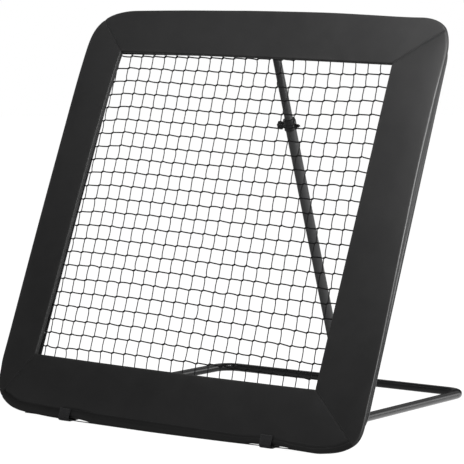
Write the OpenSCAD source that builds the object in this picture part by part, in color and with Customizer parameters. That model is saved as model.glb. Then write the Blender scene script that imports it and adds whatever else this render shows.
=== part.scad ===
// Ball rebounder: a leaning square tube frame that holds a knotted net on
// springs, padded round its edge, standing on a hinged U-shaped base and one
// telescopic strut. Millimetres, +Z up, +X to the right, -Y to the front.

/* [Rebound frame] */
// Outer width and height of the square tube frame
frame_size = 1240; // [1100:10:1300]
// Outer diameter of the frame tube and of the strut's lower tube
tube_d = 32; // [28:1:34]
// Wall of all steel tubes
tube_wall = 1.5; // [1:0.1:2]
// Bend radius of the frame corners, to the tube's centre line
corner_r = 104; // [90:1:120]
// Lean of the frame from upright, in degrees
lean = 24.2; // [20:0.1:28]

/* [Pad] */
// Thickness of the foam pad
pad_t = 21; // [15:1:26]
// Width of the side pads, from the opening to the outer edge
pad_side_w = 148; // [130:1:150]
// Width of the top pad
pad_top_w = 145; // [135:1:155]
// Width of the bottom pad
pad_bottom_w = 168; // [150:1:170]
// Thickness of the vinyl cover
skin_t = 1.5; // [1:0.1:3]

/* [Net] */
// Mesh size of the net, knot to knot
mesh = 41.6; // [38:0.1:42]
// Number of meshes in each direction
meshes = 24; // [22:2:24]
// Thickness of the net's twine
twine_d = 2.6; // [2:0.1:4]
// Width of the webbing that binds the net
border_w = 24; // [20:1:26]

/* [Springs] */
// Distance between springs along one side
spring_pitch = 108; // [104:1:110]
// Outer diameter of a spring's coil
spring_d = 12; // [10:0.5:13]
// Thickness of the spring wire
wire_d = 2.2; // [1.8:0.1:2.6]

/* [Base] */
// Outer diameter of the base tube
base_d = 25; // [24.5:0.5:28]
// Distance between the centre lines of the two base rails
base_w = 872; // [800:2:900]
// Distance from the hinge axis to the rear crossbar
base_len = 891.5; // [850:0.5:920]
// Bend radius of the base corners, to the tube's centre line
base_bend_r = 54; // [50:1:90]

/* [Strut] */
// Outer diameter of the strut's upper, inner tube
inner_d = 25; // [24:0.5:26]
// Length from the upper pivot to the top of the lower tube
strut_open_len = 284; // [270:1:320]
// Length of the inner tube that stays inside the lower tube
strut_overlap = 330; // [280:5:380]

/* [Hidden] */
$fn = 48;

tube_r = tube_d / 2;
bore_r = tube_r - tube_wall;
base_r = base_d / 2;
base_bore = base_r - tube_wall;

// frame-local axes: x to the right, y to the back from the pad's front face,
// z up the frame from the pad's lower edge
strap_t = 2;
pad_gap = 1;
tube_y = pad_t + pad_gap + tube_r;
half = frame_size / 2 - tube_r;
over_bottom = 6.5;
over_top = 9.5;
mid_z = over_bottom + frame_size / 2;
low_z = mid_z - half;
top_z = mid_z + half;
pad_h = over_bottom + frame_size + over_top;
pad_out = frame_size / 2;
open_half = pad_out - pad_side_w;
open_bottom = pad_bottom_w;
open_top = pad_h - pad_top_w;
pad_corner_r = 118;

// the frame stands on the straps under its lower tube
strap_r = tube_r + 0.3 + strap_t;
foot_z = strap_r - low_z * cos(lean) + tube_y * sin(lean);
origin_y = -484.1;

function to_y(y, z) = origin_y + y * cos(lean) + z * sin(lean);
function to_z(y, z) = foot_z - y * sin(lean) + z * cos(lean);

// hinge between the frame and the base, from the lower tube's centre
hinge_back = 9.35;
hinge_up = 33.15;
h_y = tube_y + hinge_back;
h_z = low_z + hinge_up;
hinge_y = to_y(h_y, h_z);
hinge_z = to_z(h_y, h_z);

// upper pivot of the strut, from the top tube's centre
top_back = 37.6;
top_down = 10.5;
t_y = tube_y + top_back;
t_z = top_z - top_down;
pivot_y = to_y(t_y, t_z);
pivot_z = to_z(t_y, t_z);

// base: a plane that drops from the hinge to the floor
drop = asin((hinge_z - base_r) / base_len);
bar_y = hinge_y + base_len * cos(drop);
bar_z = base_r;
base_half = base_w / 2;

// strut: from the crossbar's centre to the upper pivot
strut_dist = norm([pivot_y - bar_y, pivot_z - bar_z]);
strut_lean = atan2(bar_y - pivot_y, pivot_z - bar_z);
foot_rise = 34;
foot_y = bar_y - foot_rise * sin(strut_lean);
foot_h = bar_z + foot_rise * cos(strut_lean);
strut_len = strut_dist - foot_rise;
lower_top = strut_len - strut_open_len;
inner_r = inner_d / 2;

bolt_r = 4;
fork_t = 4;
tongue_t = 8;
fork_in = tongue_t / 2 + 0.5;

net_half = mesh * meshes / 2;
border_in = net_half + 7;
border_out = border_in + border_w;
eyelet_x = border_in + border_w / 2;
border_t = 4;
hook_y = 5;
coil_in = eyelet_x + 23;
coil_out = half - tube_r - 13;
hook_out = half - tube_r + 4.5;
spring_n = 10;
spring_at = [for (i = [0 : spring_n - 1]) (i - (spring_n - 1) / 2) * spring_pitch];

steel = [0.10, 0.10, 0.105];
zinc = [0.62, 0.63, 0.65];
vinyl = [0.14, 0.14, 0.145];
foam_grey = [0.55, 0.55, 0.57];
plastic = [0.06, 0.06, 0.065];
cord_black = [0.04, 0.04, 0.045];

module place_frame() { translate([0, origin_y, foot_z]) rotate([-lean, 0, 0]) children(); }
module place_base() { translate([0, hinge_y, hinge_z]) rotate([-drop, 0, 0]) children(); }
module place_strut() { translate([0, foot_y, foot_h]) rotate([strut_lean, 0, 0]) children(); }
module along_x(h, r, n = $fn) { rotate([0, 90, 0]) cylinder(h = h, r = r, center = true, $fn = n); }
module along_y(h, r, n = $fn) { rotate([-90, 0, 0]) cylinder(h = h, r = r, $fn = n); }

// quarter of a torus that turns from +x to +z, centred on the origin
module quarter(R, r) { rotate([90, 0, 0]) rotate_extrude(angle = 90, $fn = 96) translate([R, 0]) circle(r = r, $fn = 48); }

// solid U of tube: two legs up along z and a floor along x at z = 0
module u_solid(w, leg, R, r, more) {
  translate([-(w - R), 0, 0]) rotate([0, 90, 0]) cylinder(h = 2 * (w - R), r = r);
  for (s = [0, 1]) mirror([s, 0, 0]) {
    translate([w - R, 0, R]) mirror([0, 0, 1]) quarter(R, r);
    translate([w, 0, R]) cylinder(h = leg - R + more, r = r);
  }
}

// ---- rebound frame ----
module bow(up) {
  color(steel) place_frame() translate([0, tube_y, mid_z]) difference() {
    mirror([0, 0, up ? 1 : 0]) translate([0, 0, -half]) difference() {
      u_solid(half, half, corner_r, tube_r, 0);
      u_solid(half, half, corner_r, bore_r, 1);
    }
    // slots for the spring hooks in the inner wall
    for (p = spring_at) {
      if (up ? p > 0 : p < 0) for (s = [-1, 1])
        translate([s * (half - tube_r + 3), hook_y, p]) along_x(10, 2.5, 24);
      translate([p, hook_y, (up ? 1 : -1) * (half - tube_r + 3)]) cylinder(h = 10, r = 2.5, center = true, $fn = 24);
    }
    // screw holes at the joints half-way up the sides
    for (s = [-1, 1]) translate([s * half, tube_r - 4, (up ? 1 : -1) * 20]) along_y(8, 2.5, 24);
  }
}
module frame_upper_bow() { bow(true); }
module frame_lower_bow() { bow(false); }

module frame_joint_sleeves() {
  color(zinc) place_frame() for (s = [-1, 1]) translate([s * half, tube_y, mid_z]) difference() {
    cylinder(h = 80, r = bore_r - 0.05, center = true);
    cylinder(h = 82, r = bore_r - 1.6, center = true);
    for (k = [-20, 20]) translate([0, 8, k]) along_y(8, 2.5, 24);
  }
}
module screw(r, l) {
  along_y(l, r - 0.05, 24);
  translate([0, l, 0]) along_y(2.6, r + 2.2, 24);
}
module frame_joint_screws() {
  color(zinc) place_frame() for (s = [-1, 1], k = [-20, 20])
    translate([s * half, tube_y + tube_r - 8, mid_z + k]) screw(2.5, 8.1);
}

// one cheek plate of a fork: an eye joined to a tube by a tapering web
module cheek(dy, dz, eye, r, w) {
  len = norm([dy, dz]);
  a = atan2(dz, dy);
  difference() {
    rotate([a, 0, 0]) rotate([90, 0, 90]) linear_extrude(height = fork_t, center = true) union() {
      translate([len, 0]) circle(r = eye);
      polygon([[8, -w], [len, -eye], [len, eye], [8, w]]);
    }
    along_x(fork_t + 2, r + 0.02);
    translate([0, dy, dz]) along_x(fork_t + 2, bolt_r + 0.03);
  }
}
module fork(dy, dz, eye, r = tube_r, w = 17) {
  for (s = [-1, 1]) translate([s * (fork_in + fork_t / 2), 0, 0]) cheek(dy, dz, eye, r, w);
}
module hinge_fork(s) { color(steel) place_frame() translate([s * base_half, tube_y, low_z]) fork(hinge_back, hinge_up, 13); }
module hinge_fork_left() { hinge_fork(-1); }
module hinge_fork_right() { hinge_fork(1); }
module top_fork() { color(steel) place_frame() translate([0, tube_y, top_z]) fork(top_back, -top_down, 15); }

fork_grip = 2 * (fork_in + fork_t);
module hinge_bolts() {
  color(zinc) place_frame() for (s = [0, 1]) mirror([s, 0, 0]) translate([base_half, h_y, h_z]) {
    translate([-6.4, 0, 0]) along_x(fork_grip + 16.4, bolt_r);
    translate([fork_grip / 2 + 1.8 + 2.6, 0, 0]) along_x(5.2, 7.4, 6);
  }
}
module hinge_washers() {
  color(zinc) place_frame() for (s = [0, 1]) mirror([s, 0, 0]) translate([base_half, h_y, h_z])
    for (k = [-1, 1]) translate([k * (fork_grip / 2 + 0.9), 0, 0]) difference() {
      along_x(1.6, 8.4);
      along_x(3, bolt_r + 0.1);
    }
}
module hinge_nuts() {
  color(zinc) place_frame() for (s = [0, 1]) mirror([s, 0, 0]) translate([base_half - fork_grip / 2 - 1.8 - 3.4, h_y, h_z]) difference() {
    along_x(6.6, 7.4, 6);
    along_x(8, bolt_r + 0.03);
  }
}
// hexagon bolt along x with its head on the +x side, and its nut
module pivot_bolt() {
  translate([-4, 0, 0]) along_x(fork_grip + 11, bolt_r);
  translate([fork_grip / 2 + 0.1 + 2.6, 0, 0]) along_x(5.2, 7.4, 6);
}
module pivot_nut() {
  translate([-(fork_grip / 2 + 0.1 + 3.3), 0, 0]) difference() {
    along_x(6.6, 7.4, 6);
    along_x(8, bolt_r + 0.03);
  }
}
module top_bolt() { color(zinc) place_frame() translate([0, t_y, t_z]) pivot_bolt(); }
module top_nut() { color(zinc) place_frame() translate([0, t_y, t_z]) pivot_nut(); }

// ---- pad: four mitred panels that form one ring ----
// outline of the whole ring's outer edge, in x and z
module pad_outline(inset) {
  w = pad_out - inset;
  r = pad_corner_r - inset;
  union() {
    translate([-w + r, inset]) square([2 * (w - r), pad_h - 2 * inset]);
    translate([-w, inset + r]) square([2 * w, pad_h - 2 * inset - 2 * r]);
    for (x = [-w + r, w - r], z = [inset + r, pad_h - inset - r]) translate([x, z]) circle(r = r, $fn = 96);
  }
}
// wedge of the plane that belongs to one panel, kept g away from the seams
far = 200;
module wedge(side, g) {
  o = open_half;
  b = open_bottom;
  t = open_top;
  if (side == "bottom") polygon([[-o - far, b - far - g], [o + far, b - far - g], [o + 0, b - g], [-o, b - g]]);
  if (side == "top") polygon([[-o - far, t + far + g], [-o, t + g], [o, t + g], [o + far, t + far + g]]);
  if (side == "left") polygon([[-o - far - g, b - far], [-o - g, b], [-o - g, t], [-o - far - g, t + far]]);
  if (side == "right") polygon([[o + far + g, b - far], [o + far + g, t + far], [o + g, t], [o + g, b]]);
}
module panel(side, inset, y0, y1) {
  translate([0, y1, 0]) rotate([90, 0, 0]) linear_extrude(height = y1 - y0) intersection() {
    pad_outline(inset);
    wedge(side, 0.15 + inset);
  }
}
module pad_cover(side) {
  color(vinyl) place_frame() difference() {
    union() {
      panel(side, 0, 3, pad_t);
      panel(side, 3, 0, 3);
    }
    panel(side, skin_t + 3, skin_t, pad_t - skin_t);
  }
}
module foam(side) { color(foam_grey) place_frame() panel(side, skin_t + 3, skin_t, pad_t - skin_t); }
module pad_cover_top() { pad_cover("top"); }
module pad_cover_bottom() { pad_cover("bottom"); }
module pad_cover_left() { pad_cover("left"); }
module pad_cover_right() { pad_cover("right"); }
module foam_top() { foam("top"); }
module foam_bottom() { foam("bottom"); }
module foam_left() { foam("left"); }
module foam_right() { foam("right"); }

// strap round a frame tube, seen from its edge: y and z from the tube's centre,
// for a pad that reaches the given distance past the centre
strap_w = 38;
strap_x = 345;
function arc_pts(r, a0, a1, n) = [for (i = [0 : n]) [r * cos(a0 + (a1 - a0) * i / n), r * sin(a0 + (a1 - a0) * i / n)]];
module strap_section(past) {
  front = -tube_y;
  back = front + pad_t;
  corner = [back + 0.4, -past - 0.6];
  start = atan2(corner[1], corner[0]) + acos((strap_r - strap_t) / norm(corner));
  // the band lies flat where it meets the floor
  down = lean - 90;
  flat = strap_r / cos(6);
  outer = concat([for (a = [down - 6, down + 6]) [flat * cos(a), flat * sin(a)]], arc_pts(strap_r, down + 12, 92, 18));
  inner = arc_pts(strap_r - strap_t, 92, start, 20);
  polygon(concat(
    [[front - 2.6, 27 - past], [front - 2.6, 2.3 - past], [front + 2.7, -past - 3], [back + 1, -past - 2.6]],
    outer,
    [[back + 0.4 + strap_t, 25], [back + 0.4 + strap_t, 36], [back + 0.4, 36], [back + 0.4, 23.5]],
    inner,
    [corner, [front + 3.6, -past - 0.6], [front - 0.6, 3.2 - past], [front - 0.6, 27 - past]]));
}
// the same for a strap that is sewn to the pad's back only
module back_strap_section(past) {
  back = pad_t - tube_y + 0.4;
  low = [back, 1.4 - past];
  bend = [back + strap_t, 4.2 - past];
  start_out = atan2(low[1], low[0]) + acos(strap_r / norm(low));
  start_in = atan2(bend[1], bend[0]) + acos((strap_r - strap_t) / norm(bend));
  polygon(concat(
    [[back, -11], low],
    arc_pts(strap_r, start_out, 92, 30),
    [[back + strap_t, 25], [back + strap_t, 36], [back, 36], [back, 23.5]],
    arc_pts(strap_r - strap_t, 92, start_in, 30),
    [bend, [back + strap_t, -11]]));
}
module strap(x) {
  translate([x - strap_w / 2, 0, 0]) rotate([90, 0, 90]) linear_extrude(height = strap_w) children();
}
module strap_bottom_left() { color(cord_black) place_frame() translate([0, tube_y, low_z]) strap(-strap_x) strap_section(low_z); }
module strap_bottom_right() { color(cord_black) place_frame() translate([0, tube_y, low_z]) strap(strap_x) strap_section(low_z); }
module straps_top() {
  color(cord_black) place_frame() translate([0, tube_y, top_z]) mirror([0, 0, 1])
    for (s = [-1, 1]) strap(s * strap_x) back_strap_section(pad_h - top_z);
}

// ---- net ----
module net() {
  color(cord_black) place_frame() translate([0, tube_y + twine_d / 2, mid_z]) rotate([90, 0, 0]) linear_extrude(height = twine_d) difference() {
    square(2 * border_in, center = true);
    for (i = [0 : meshes - 1], j = [0 : meshes - 1])
      translate([-net_half + mesh * (i + 0.5), -net_half + mesh * (j + 0.5)]) square(mesh - twine_d, center = true);
    // open cells between the outermost lines and the border
    for (a = [0 : 90 : 270], i = [0 : meshes - 1]) rotate(a)
      translate([-net_half + mesh * (i + 0.5), net_half + twine_d / 2 + (border_in - net_half) / 2]) square([mesh - twine_d, border_in - net_half], center = true);
    for (a = [0 : 90 : 270]) rotate(a) translate([net_half + twine_d / 2, net_half + twine_d / 2]) square(20);
  }
}
module each_spring() {
  for (a = [0 : 90 : 270], p = spring_at) rotate([0, a, 0]) translate([0, 0, p]) children();
}
module net_border() {
  color(cord_black) place_frame() translate([0, tube_y, mid_z]) difference() {
    cube([2 * border_out, border_t, 2 * border_out], center = true);
    cube([2 * border_in, border_t + 2, 2 * border_in], center = true);
    each_spring() translate([eyelet_x, -border_t, 0]) along_y(2 * border_t, 4.05, 24);
  }
}
module border_eyelets() {
  color(zinc) place_frame() translate([0, tube_y, mid_z]) each_spring() translate([eyelet_x, 0, 0]) difference() {
    union() {
      translate([0, -border_t / 2 - 0.8, 0]) along_y(border_t + 1.6, 4, 24);
      translate([0, -border_t / 2 - 0.8, 0]) along_y(0.8, 7, 24);
      translate([0, border_t / 2, 0]) along_y(0.8, 7, 24);
    }
    translate([0, -border_t, 0]) along_y(2 * border_t, 3, 24);
  }
}
// flat outline of a hook, in x and y: from the coil's end to the hooked tip
module hook(x0, x1, y, tip) {
  w = wire_d / 2;
  d = sign(x1 - x0);
  polygon([[x0, y - w], [x1 - d * w, y - w], [x1 - d * w, y - tip], [x1 + d * w, y - tip], [x1 + d * w, y + w], [x0, y + w]]);
}
module springs() {
  color(zinc) place_frame() translate([0, tube_y, mid_z]) each_spring() {
    // close-wound coil
    translate([(coil_in + coil_out) / 2, 0, 0]) difference() {
      along_x(coil_out - coil_in, spring_d / 2, 24);
      along_x(coil_out - coil_in + 2, spring_d / 2 - wire_d, 24);
    }
    // hooks through the eyelet and through the tube's wall
    translate([0, 0, -wire_d / 2]) linear_extrude(height = wire_d) {
      hook(coil_in + 1, eyelet_x, hook_y, 10);
      hook(coil_out - 1, hook_out, hook_y, 7);
    }
  }
}

// ---- base ----
module base_half_tube(s) {
  color(steel) place_base() mirror([s > 0 ? 0 : 1, 0, 0]) difference() {
    union() {
      rotate([0, 90, 0]) translate([0, base_len, 0]) cylinder(h = base_half - base_bend_r, r = base_r);
      translate([base_half - base_bend_r, base_len - base_bend_r, 0]) rotate([-90, 0, 0]) quarter(base_bend_r, base_r);
      translate([base_half, 26, 0]) along_y(base_len - base_bend_r - 26, base_r);
    }
    union() {
      rotate([0, 90, 0]) translate([0, base_len, -1]) cylinder(h = base_half - base_bend_r + 1, r = base_bore);
      translate([base_half - base_bend_r, base_len - base_bend_r, 0]) rotate([-90, 0, 0]) quarter(base_bend_r, base_bore);
      translate([base_half, 25, 0]) along_y(base_len - base_bend_r - 25, base_bore);
    }
    translate([42, base_len - base_r - 4, 0]) along_y(8, 2.5, 24);
  }
}
module base_left() { base_half_tube(-1); }
module base_right() { base_half_tube(1); }
module base_joint_sleeve() {
  color(zinc) place_base() translate([0, base_len, 0]) difference() {
    along_x(130, base_bore - 0.05);
    along_x(132, base_bore - 1.6);
    for (s = [-1, 1]) translate([s * 42, -base_r - 4, 0]) along_y(8, 2.5, 24);
  }
}
module base_joint_screws() {
  color(zinc) place_base() for (s = [-1, 1]) translate([s * 42, base_len - base_r + 8, 0]) rotate([180, 0, 0]) screw(2.5, 8.1);
}
module hinge_tongues() {
  color(steel) place_base() for (s = [-1, 1]) translate([s * base_half, 0, 0]) difference() {
    union() {
      along_x(tongue_t, 12.5);
      translate([-tongue_t / 2, 0, -12.5]) cube([tongue_t, 26, 25]);
      translate([0, 23.5, 0]) along_y(2.5, base_r - 0.2);
      translate([0, 26, 0]) along_y(30, base_bore - 0.05);
    }
    along_x(tongue_t + 2, bolt_r + 0.06);
    translate([0, 30, 0]) along_y(40, base_bore - 2.5);
  }
}
fy = (foot_y - hinge_y) * cos(drop) - (foot_h - hinge_z) * sin(drop);
fz = (foot_y - hinge_y) * sin(drop) + (foot_h - hinge_z) * cos(drop);
module foot_fork() { color(steel) place_base() translate([0, base_len, 0]) fork(fy - base_len, fz, 13, base_r, 13.5); }
module foot_bolt() { color(zinc) place_base() translate([0, fy, fz]) pivot_bolt(); }
module foot_nut() { color(zinc) place_base() translate([0, fy, fz]) pivot_nut(); }

// ---- strut, along z from the foot bolt to the top bolt ----
module strut_foot_tongue() {
  color(steel) place_strut() difference() {
    union() {
      along_x(tongue_t, 12.5);
      translate([-tongue_t / 2, -12.5, 0]) cube([tongue_t, 25, 27]);
      translate([0, 0, 25]) cylinder(h = 2, r = tube_r - 0.2);
      translate([0, 0, 25.5]) cylinder(h = 30, r = bore_r - 0.05);
    }
    along_x(tongue_t + 2, bolt_r + 0.06);
    translate([0, 0, 31]) cylinder(h = 40, r = bore_r - 2.5);
  }
}
module strut_lower_tube() {
  color(steel) place_strut() translate([0, 0, 27]) difference() {
    cylinder(h = lower_top - 27, r = tube_r);
    translate([0, 0, -1]) cylinder(h = lower_top - 25, r = bore_r);
    translate([-15, 0, clamp_z - 27]) along_x(6, stud_r + 0.3);
    translate([15, 0, clamp_z - 27]) along_x(6, 3.05);
  }
}
module guide_bush() {
  color(plastic) place_strut() difference() {
    union() {
      translate([0, 0, lower_top - 34]) cylinder(h = 34, r = bore_r - 0.05);
      translate([0, 0, lower_top]) cylinder(h = 2.5, r = tube_r);
    }
    translate([0, 0, lower_top - 40]) cylinder(h = 50, r = inner_r + 0.08);
    translate([-14, 0, clamp_z]) along_x(6, stud_r + 0.3);
  }
}
// clamp on the lower tube's end: a knob on the -x side whose stud presses on the
// inner tube, and a bolt and two rivets in a rib on the +x side
clamp_z = lower_top - 7;
collar_lo = lower_top - 19;
collar_hi = lower_top + 15;
stud_r = 3.95;
module clamp_collar() {
  color(plastic) place_strut() difference() {
    union() {
      translate([0, 0, collar_lo]) cylinder(h = lower_top - 1 - collar_lo, r = tube_r + 3);
      translate([0, 0, lower_top - 2]) cylinder(h = 5, r = tube_r + 1.2);
      translate([0, 0, lower_top + 1]) cylinder(h = collar_hi - 2 - lower_top, r = tube_r + 2.2);
      translate([0, 0, lower_top + 6]) cylinder(h = 9, r = inner_r + 4.5);
      // rib and boss
      translate([10, -5, collar_lo + 1]) cube([10.5, 10, collar_hi - collar_lo - 3]);
      translate([-16.5, 0, clamp_z]) along_x(11, 7.7);
    }
    translate([0, 0, collar_lo - 1]) cylinder(h = lower_top + 3.55 - collar_lo, r = tube_r + 0.05);
    translate([0, 0, lower_top]) cylinder(h = 40, r = inner_r + 0.4);
    translate([-18, 0, clamp_z]) along_x(12, 5.55);
    translate([17, 0, clamp_z]) along_x(12, 3.05);
    for (z = [collar_lo + 3.4, collar_hi - 5]) translate([19, 0, z]) along_x(6, 1.55, 24);
  }
}
module collar_bolt() {
  color(zinc) place_strut() translate([0, 0, clamp_z]) {
    translate([19.2, 0, 0]) along_x(9.4, 3);
    translate([20.6 + 4.2, 0, 0]) along_x(8.4, 5.77, 6);
    translate([31, 0, 0]) along_x(5, 3);
  }
}
module collar_rivets() {
  color(zinc) place_strut() for (z = [collar_lo + 3.4, collar_hi - 5]) translate([0, 0, z]) {
    translate([18.8, 0, 0]) along_x(4, 1.5, 24);
    translate([20.6 + 0.5, 0, 0]) along_x(1, 3, 24);
  }
}
module collar_insert() {
  color("goldenrod") place_strut() translate([-18.95, 0, clamp_z]) difference() {
    along_x(5.5, 5.5);
    along_x(12, stud_r + 0.06);
  }
}
module strut_upper_tube() {
  color(steel) place_strut() translate([0, 0, lower_top - strut_overlap]) difference() {
    cylinder(h = strut_open_len + strut_overlap - 30, r = inner_r);
    translate([0, 0, -1]) cylinder(h = strut_open_len + strut_overlap, r = inner_r - tube_wall);
  }
}
// the slot that the top bolt moves in as the frame tilts, from the bolt at rest
slot_y = 8.6;
slot_z = -4.75;
slot_r = bolt_r + 0.7;
module strut_top_tongue() {
  color(steel) place_strut() translate([0, 0, strut_len]) difference() {
    union() {
      along_x(tongue_t, slot_r + 5.5);
      translate([0, slot_y, slot_z]) along_x(tongue_t, slot_r + 6);
      translate([-tongue_t / 2, -10, -30]) cube([tongue_t, 24, 30]);
      translate([0, 0, -30]) cylinder(h = 2, r = inner_r - 0.2);
      translate([0, 0, -60]) cylinder(h = 30.5, r = inner_r - tube_wall - 0.05);
    }
    along_x(tongue_t + 2, slot_r);
    translate([0, slot_y, slot_z]) along_x(tongue_t + 2, slot_r);
    rotate([atan2(slot_z, slot_y), 0, 0]) translate([-tongue_t, 0, -slot_r + 0.02]) cube([2 * tongue_t, norm([slot_y, slot_z]), 2 * slot_r - 0.04]);
    translate([0, 0, -61]) cylinder(h = 24, r = inner_r - tube_wall - 2.5);
  }
}
module inner_bush() {
  color(plastic) place_strut() translate([0, 0, lower_top - strut_overlap]) difference() {
    union() {
      translate([0, 0, -4]) cylinder(h = 3.9, r = bore_r - 0.08);
      translate([0, 0, -0.2]) cylinder(h = 24, r = inner_r - tube_wall - 0.05);
    }
    translate([0, 0, -5]) cylinder(h = 40, r = inner_r - tube_wall - 3);
  }
}
module clamp_knob() {
  color(plastic) place_strut() translate([0, 0, clamp_z]) difference() {
    union() {
      translate([-25.5, 0, 0]) along_x(5, 8.5);
      translate([-33.5, 0, 0]) along_x(15, 10.8);
      for (a = [0 : 60 : 300]) rotate([a, 0, 0]) translate([-34, 0, 9.8]) along_x(13, 3.9, 24);
    }
    translate([-29, 0, 0]) along_x(18, stud_r + 0.03);
  }
}
module knob_stud() {
  color(zinc) place_strut() translate([-25.4, 0, clamp_z]) along_x(25.2, stud_r);
}

base_left();
base_right();
base_joint_sleeve();
base_joint_screws();
hinge_tongues();
foot_fork();
foot_bolt();
foot_nut();
frame_upper_bow();
frame_lower_bow();
frame_joint_sleeves();
frame_joint_screws();
hinge_fork_left();
hinge_fork_right();
hinge_bolts();
hinge_washers();
hinge_nuts();
top_fork();
top_bolt();
top_nut();
pad_cover_top();
pad_cover_bottom();
pad_cover_left();
pad_cover_right();
foam_top();
foam_bottom();
foam_left();
foam_right();
strap_bottom_left();
strap_bottom_right();
straps_top();
net();
net_border();
border_eyelets();
springs();
strut_lower_tube();
strut_foot_tongue();
guide_bush();
clamp_collar();
collar_bolt();
collar_rivets();
collar_insert();
strut_upper_tube();
strut_top_tongue();
inner_bush();
clamp_knob();
knob_stud();
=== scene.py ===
import math

import bmesh
import bpy
import numpy as np
from mathutils import Matrix, Vector


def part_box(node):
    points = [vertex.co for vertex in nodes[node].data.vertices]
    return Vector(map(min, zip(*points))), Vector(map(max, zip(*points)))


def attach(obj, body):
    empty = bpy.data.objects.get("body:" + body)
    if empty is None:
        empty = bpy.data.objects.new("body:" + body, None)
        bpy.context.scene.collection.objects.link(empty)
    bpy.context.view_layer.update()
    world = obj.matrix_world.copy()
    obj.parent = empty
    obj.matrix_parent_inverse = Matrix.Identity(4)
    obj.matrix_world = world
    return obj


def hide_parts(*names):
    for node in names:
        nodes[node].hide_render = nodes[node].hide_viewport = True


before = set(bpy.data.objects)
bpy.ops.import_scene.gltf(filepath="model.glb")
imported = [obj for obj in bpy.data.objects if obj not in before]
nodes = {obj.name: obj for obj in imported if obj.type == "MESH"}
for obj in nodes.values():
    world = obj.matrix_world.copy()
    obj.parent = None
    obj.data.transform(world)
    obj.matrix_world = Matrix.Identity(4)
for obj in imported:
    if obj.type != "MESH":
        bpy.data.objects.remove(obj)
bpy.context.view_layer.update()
scene = bpy.context.scene
rng = np.random.default_rng(11)

# ---------------------------------------------------------------- sizes, mm
LEAN = math.radians(24.2)
CL, SL = math.cos(LEAN), math.sin(LEAN)
OY = -484.1
TUBE_R, BORE_R, TUBE_Y, PAD_T = 16.0, 14.5, 38.0, 21.0
LOW_Z, MID_Z, TOP_Z, HALF = 22.5, 626.5, 1230.5, 604.0
PAD_H = 1256.0
STRAP_R = 18.3
FZ = STRAP_R - LOW_Z * CL + TUBE_Y * SL
BORDER_IN, BORDER_OUT, EYE_X = 506.2, 530.2, 518.2
SPRING_AT = [(i - 4.5) * 108.0 for i in range(10)]
COIL_IN, COIL_OUT, HOOK_Y, HOOK_OUT, WIRE = 541.2, 575.0, 5.0, 592.5, 2.2


def to_world(p):
    """Frame-local millimetres (x, depth, up the panel) to metres."""
    p = np.asarray(p, float).reshape(-1, 3)
    x, y, z = p.T
    return np.stack([x, OY + y * CL + z * SL, FZ - y * SL + z * CL], 1) * 1e-3


# ---------------------------------------------------------------- camera
CAM = (3.6196, -5.4465, 1.2667)
YAW, PITCH, ROLL, FOCAL = 0.59753, 0.11364, -0.004876, 2249.68


def camera_axes():
    fwd = Vector((-math.sin(YAW) * math.cos(PITCH), math.cos(YAW) * math.cos(PITCH), -math.sin(PITCH)))
    right = Vector((math.cos(YAW), math.sin(YAW), 0))
    up = right.cross(fwd)
    r2 = math.cos(ROLL) * right + math.sin(ROLL) * up
    u2 = -math.sin(ROLL) * right + math.cos(ROLL) * up
    return r2, u2, fwd


r2, u2, fwd = camera_axes()
cam_data = bpy.data.cameras.new("photo_camera")
cam_data.sensor_width = 36.0
cam_data.lens = FOCAL / 464 * 36
cam_data.clip_start, cam_data.clip_end = 0.1, 200
cam = bpy.data.objects.new("photo_camera", cam_data)
m = Matrix.Identity(4)
for row in range(3):
    m[row][0], m[row][1], m[row][2], m[row][3] = r2[row], u2[row], -fwd[row], CAM[row]
cam.matrix_world = m
scene.collection.objects.link(cam)
scene.camera = cam
scene.view_settings.view_transform = "Standard"

_cy, _cz = CAM[1] * 1e3 - OY, CAM[2] * 1e3 - FZ
CAM_L = np.array([CAM[0] * 1e3, _cy * CL - _cz * SL, _cy * SL + _cz * CL])


def slide(x, v, y0, y1):
    """The point at depth y1 on the sight line through (x, y0, v)."""
    t = (y1 - CAM_L[1]) / (y0 - CAM_L[1])
    return CAM_L[0] + (x - CAM_L[0]) * t, CAM_L[2] + (v - CAM_L[2]) * t


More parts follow.
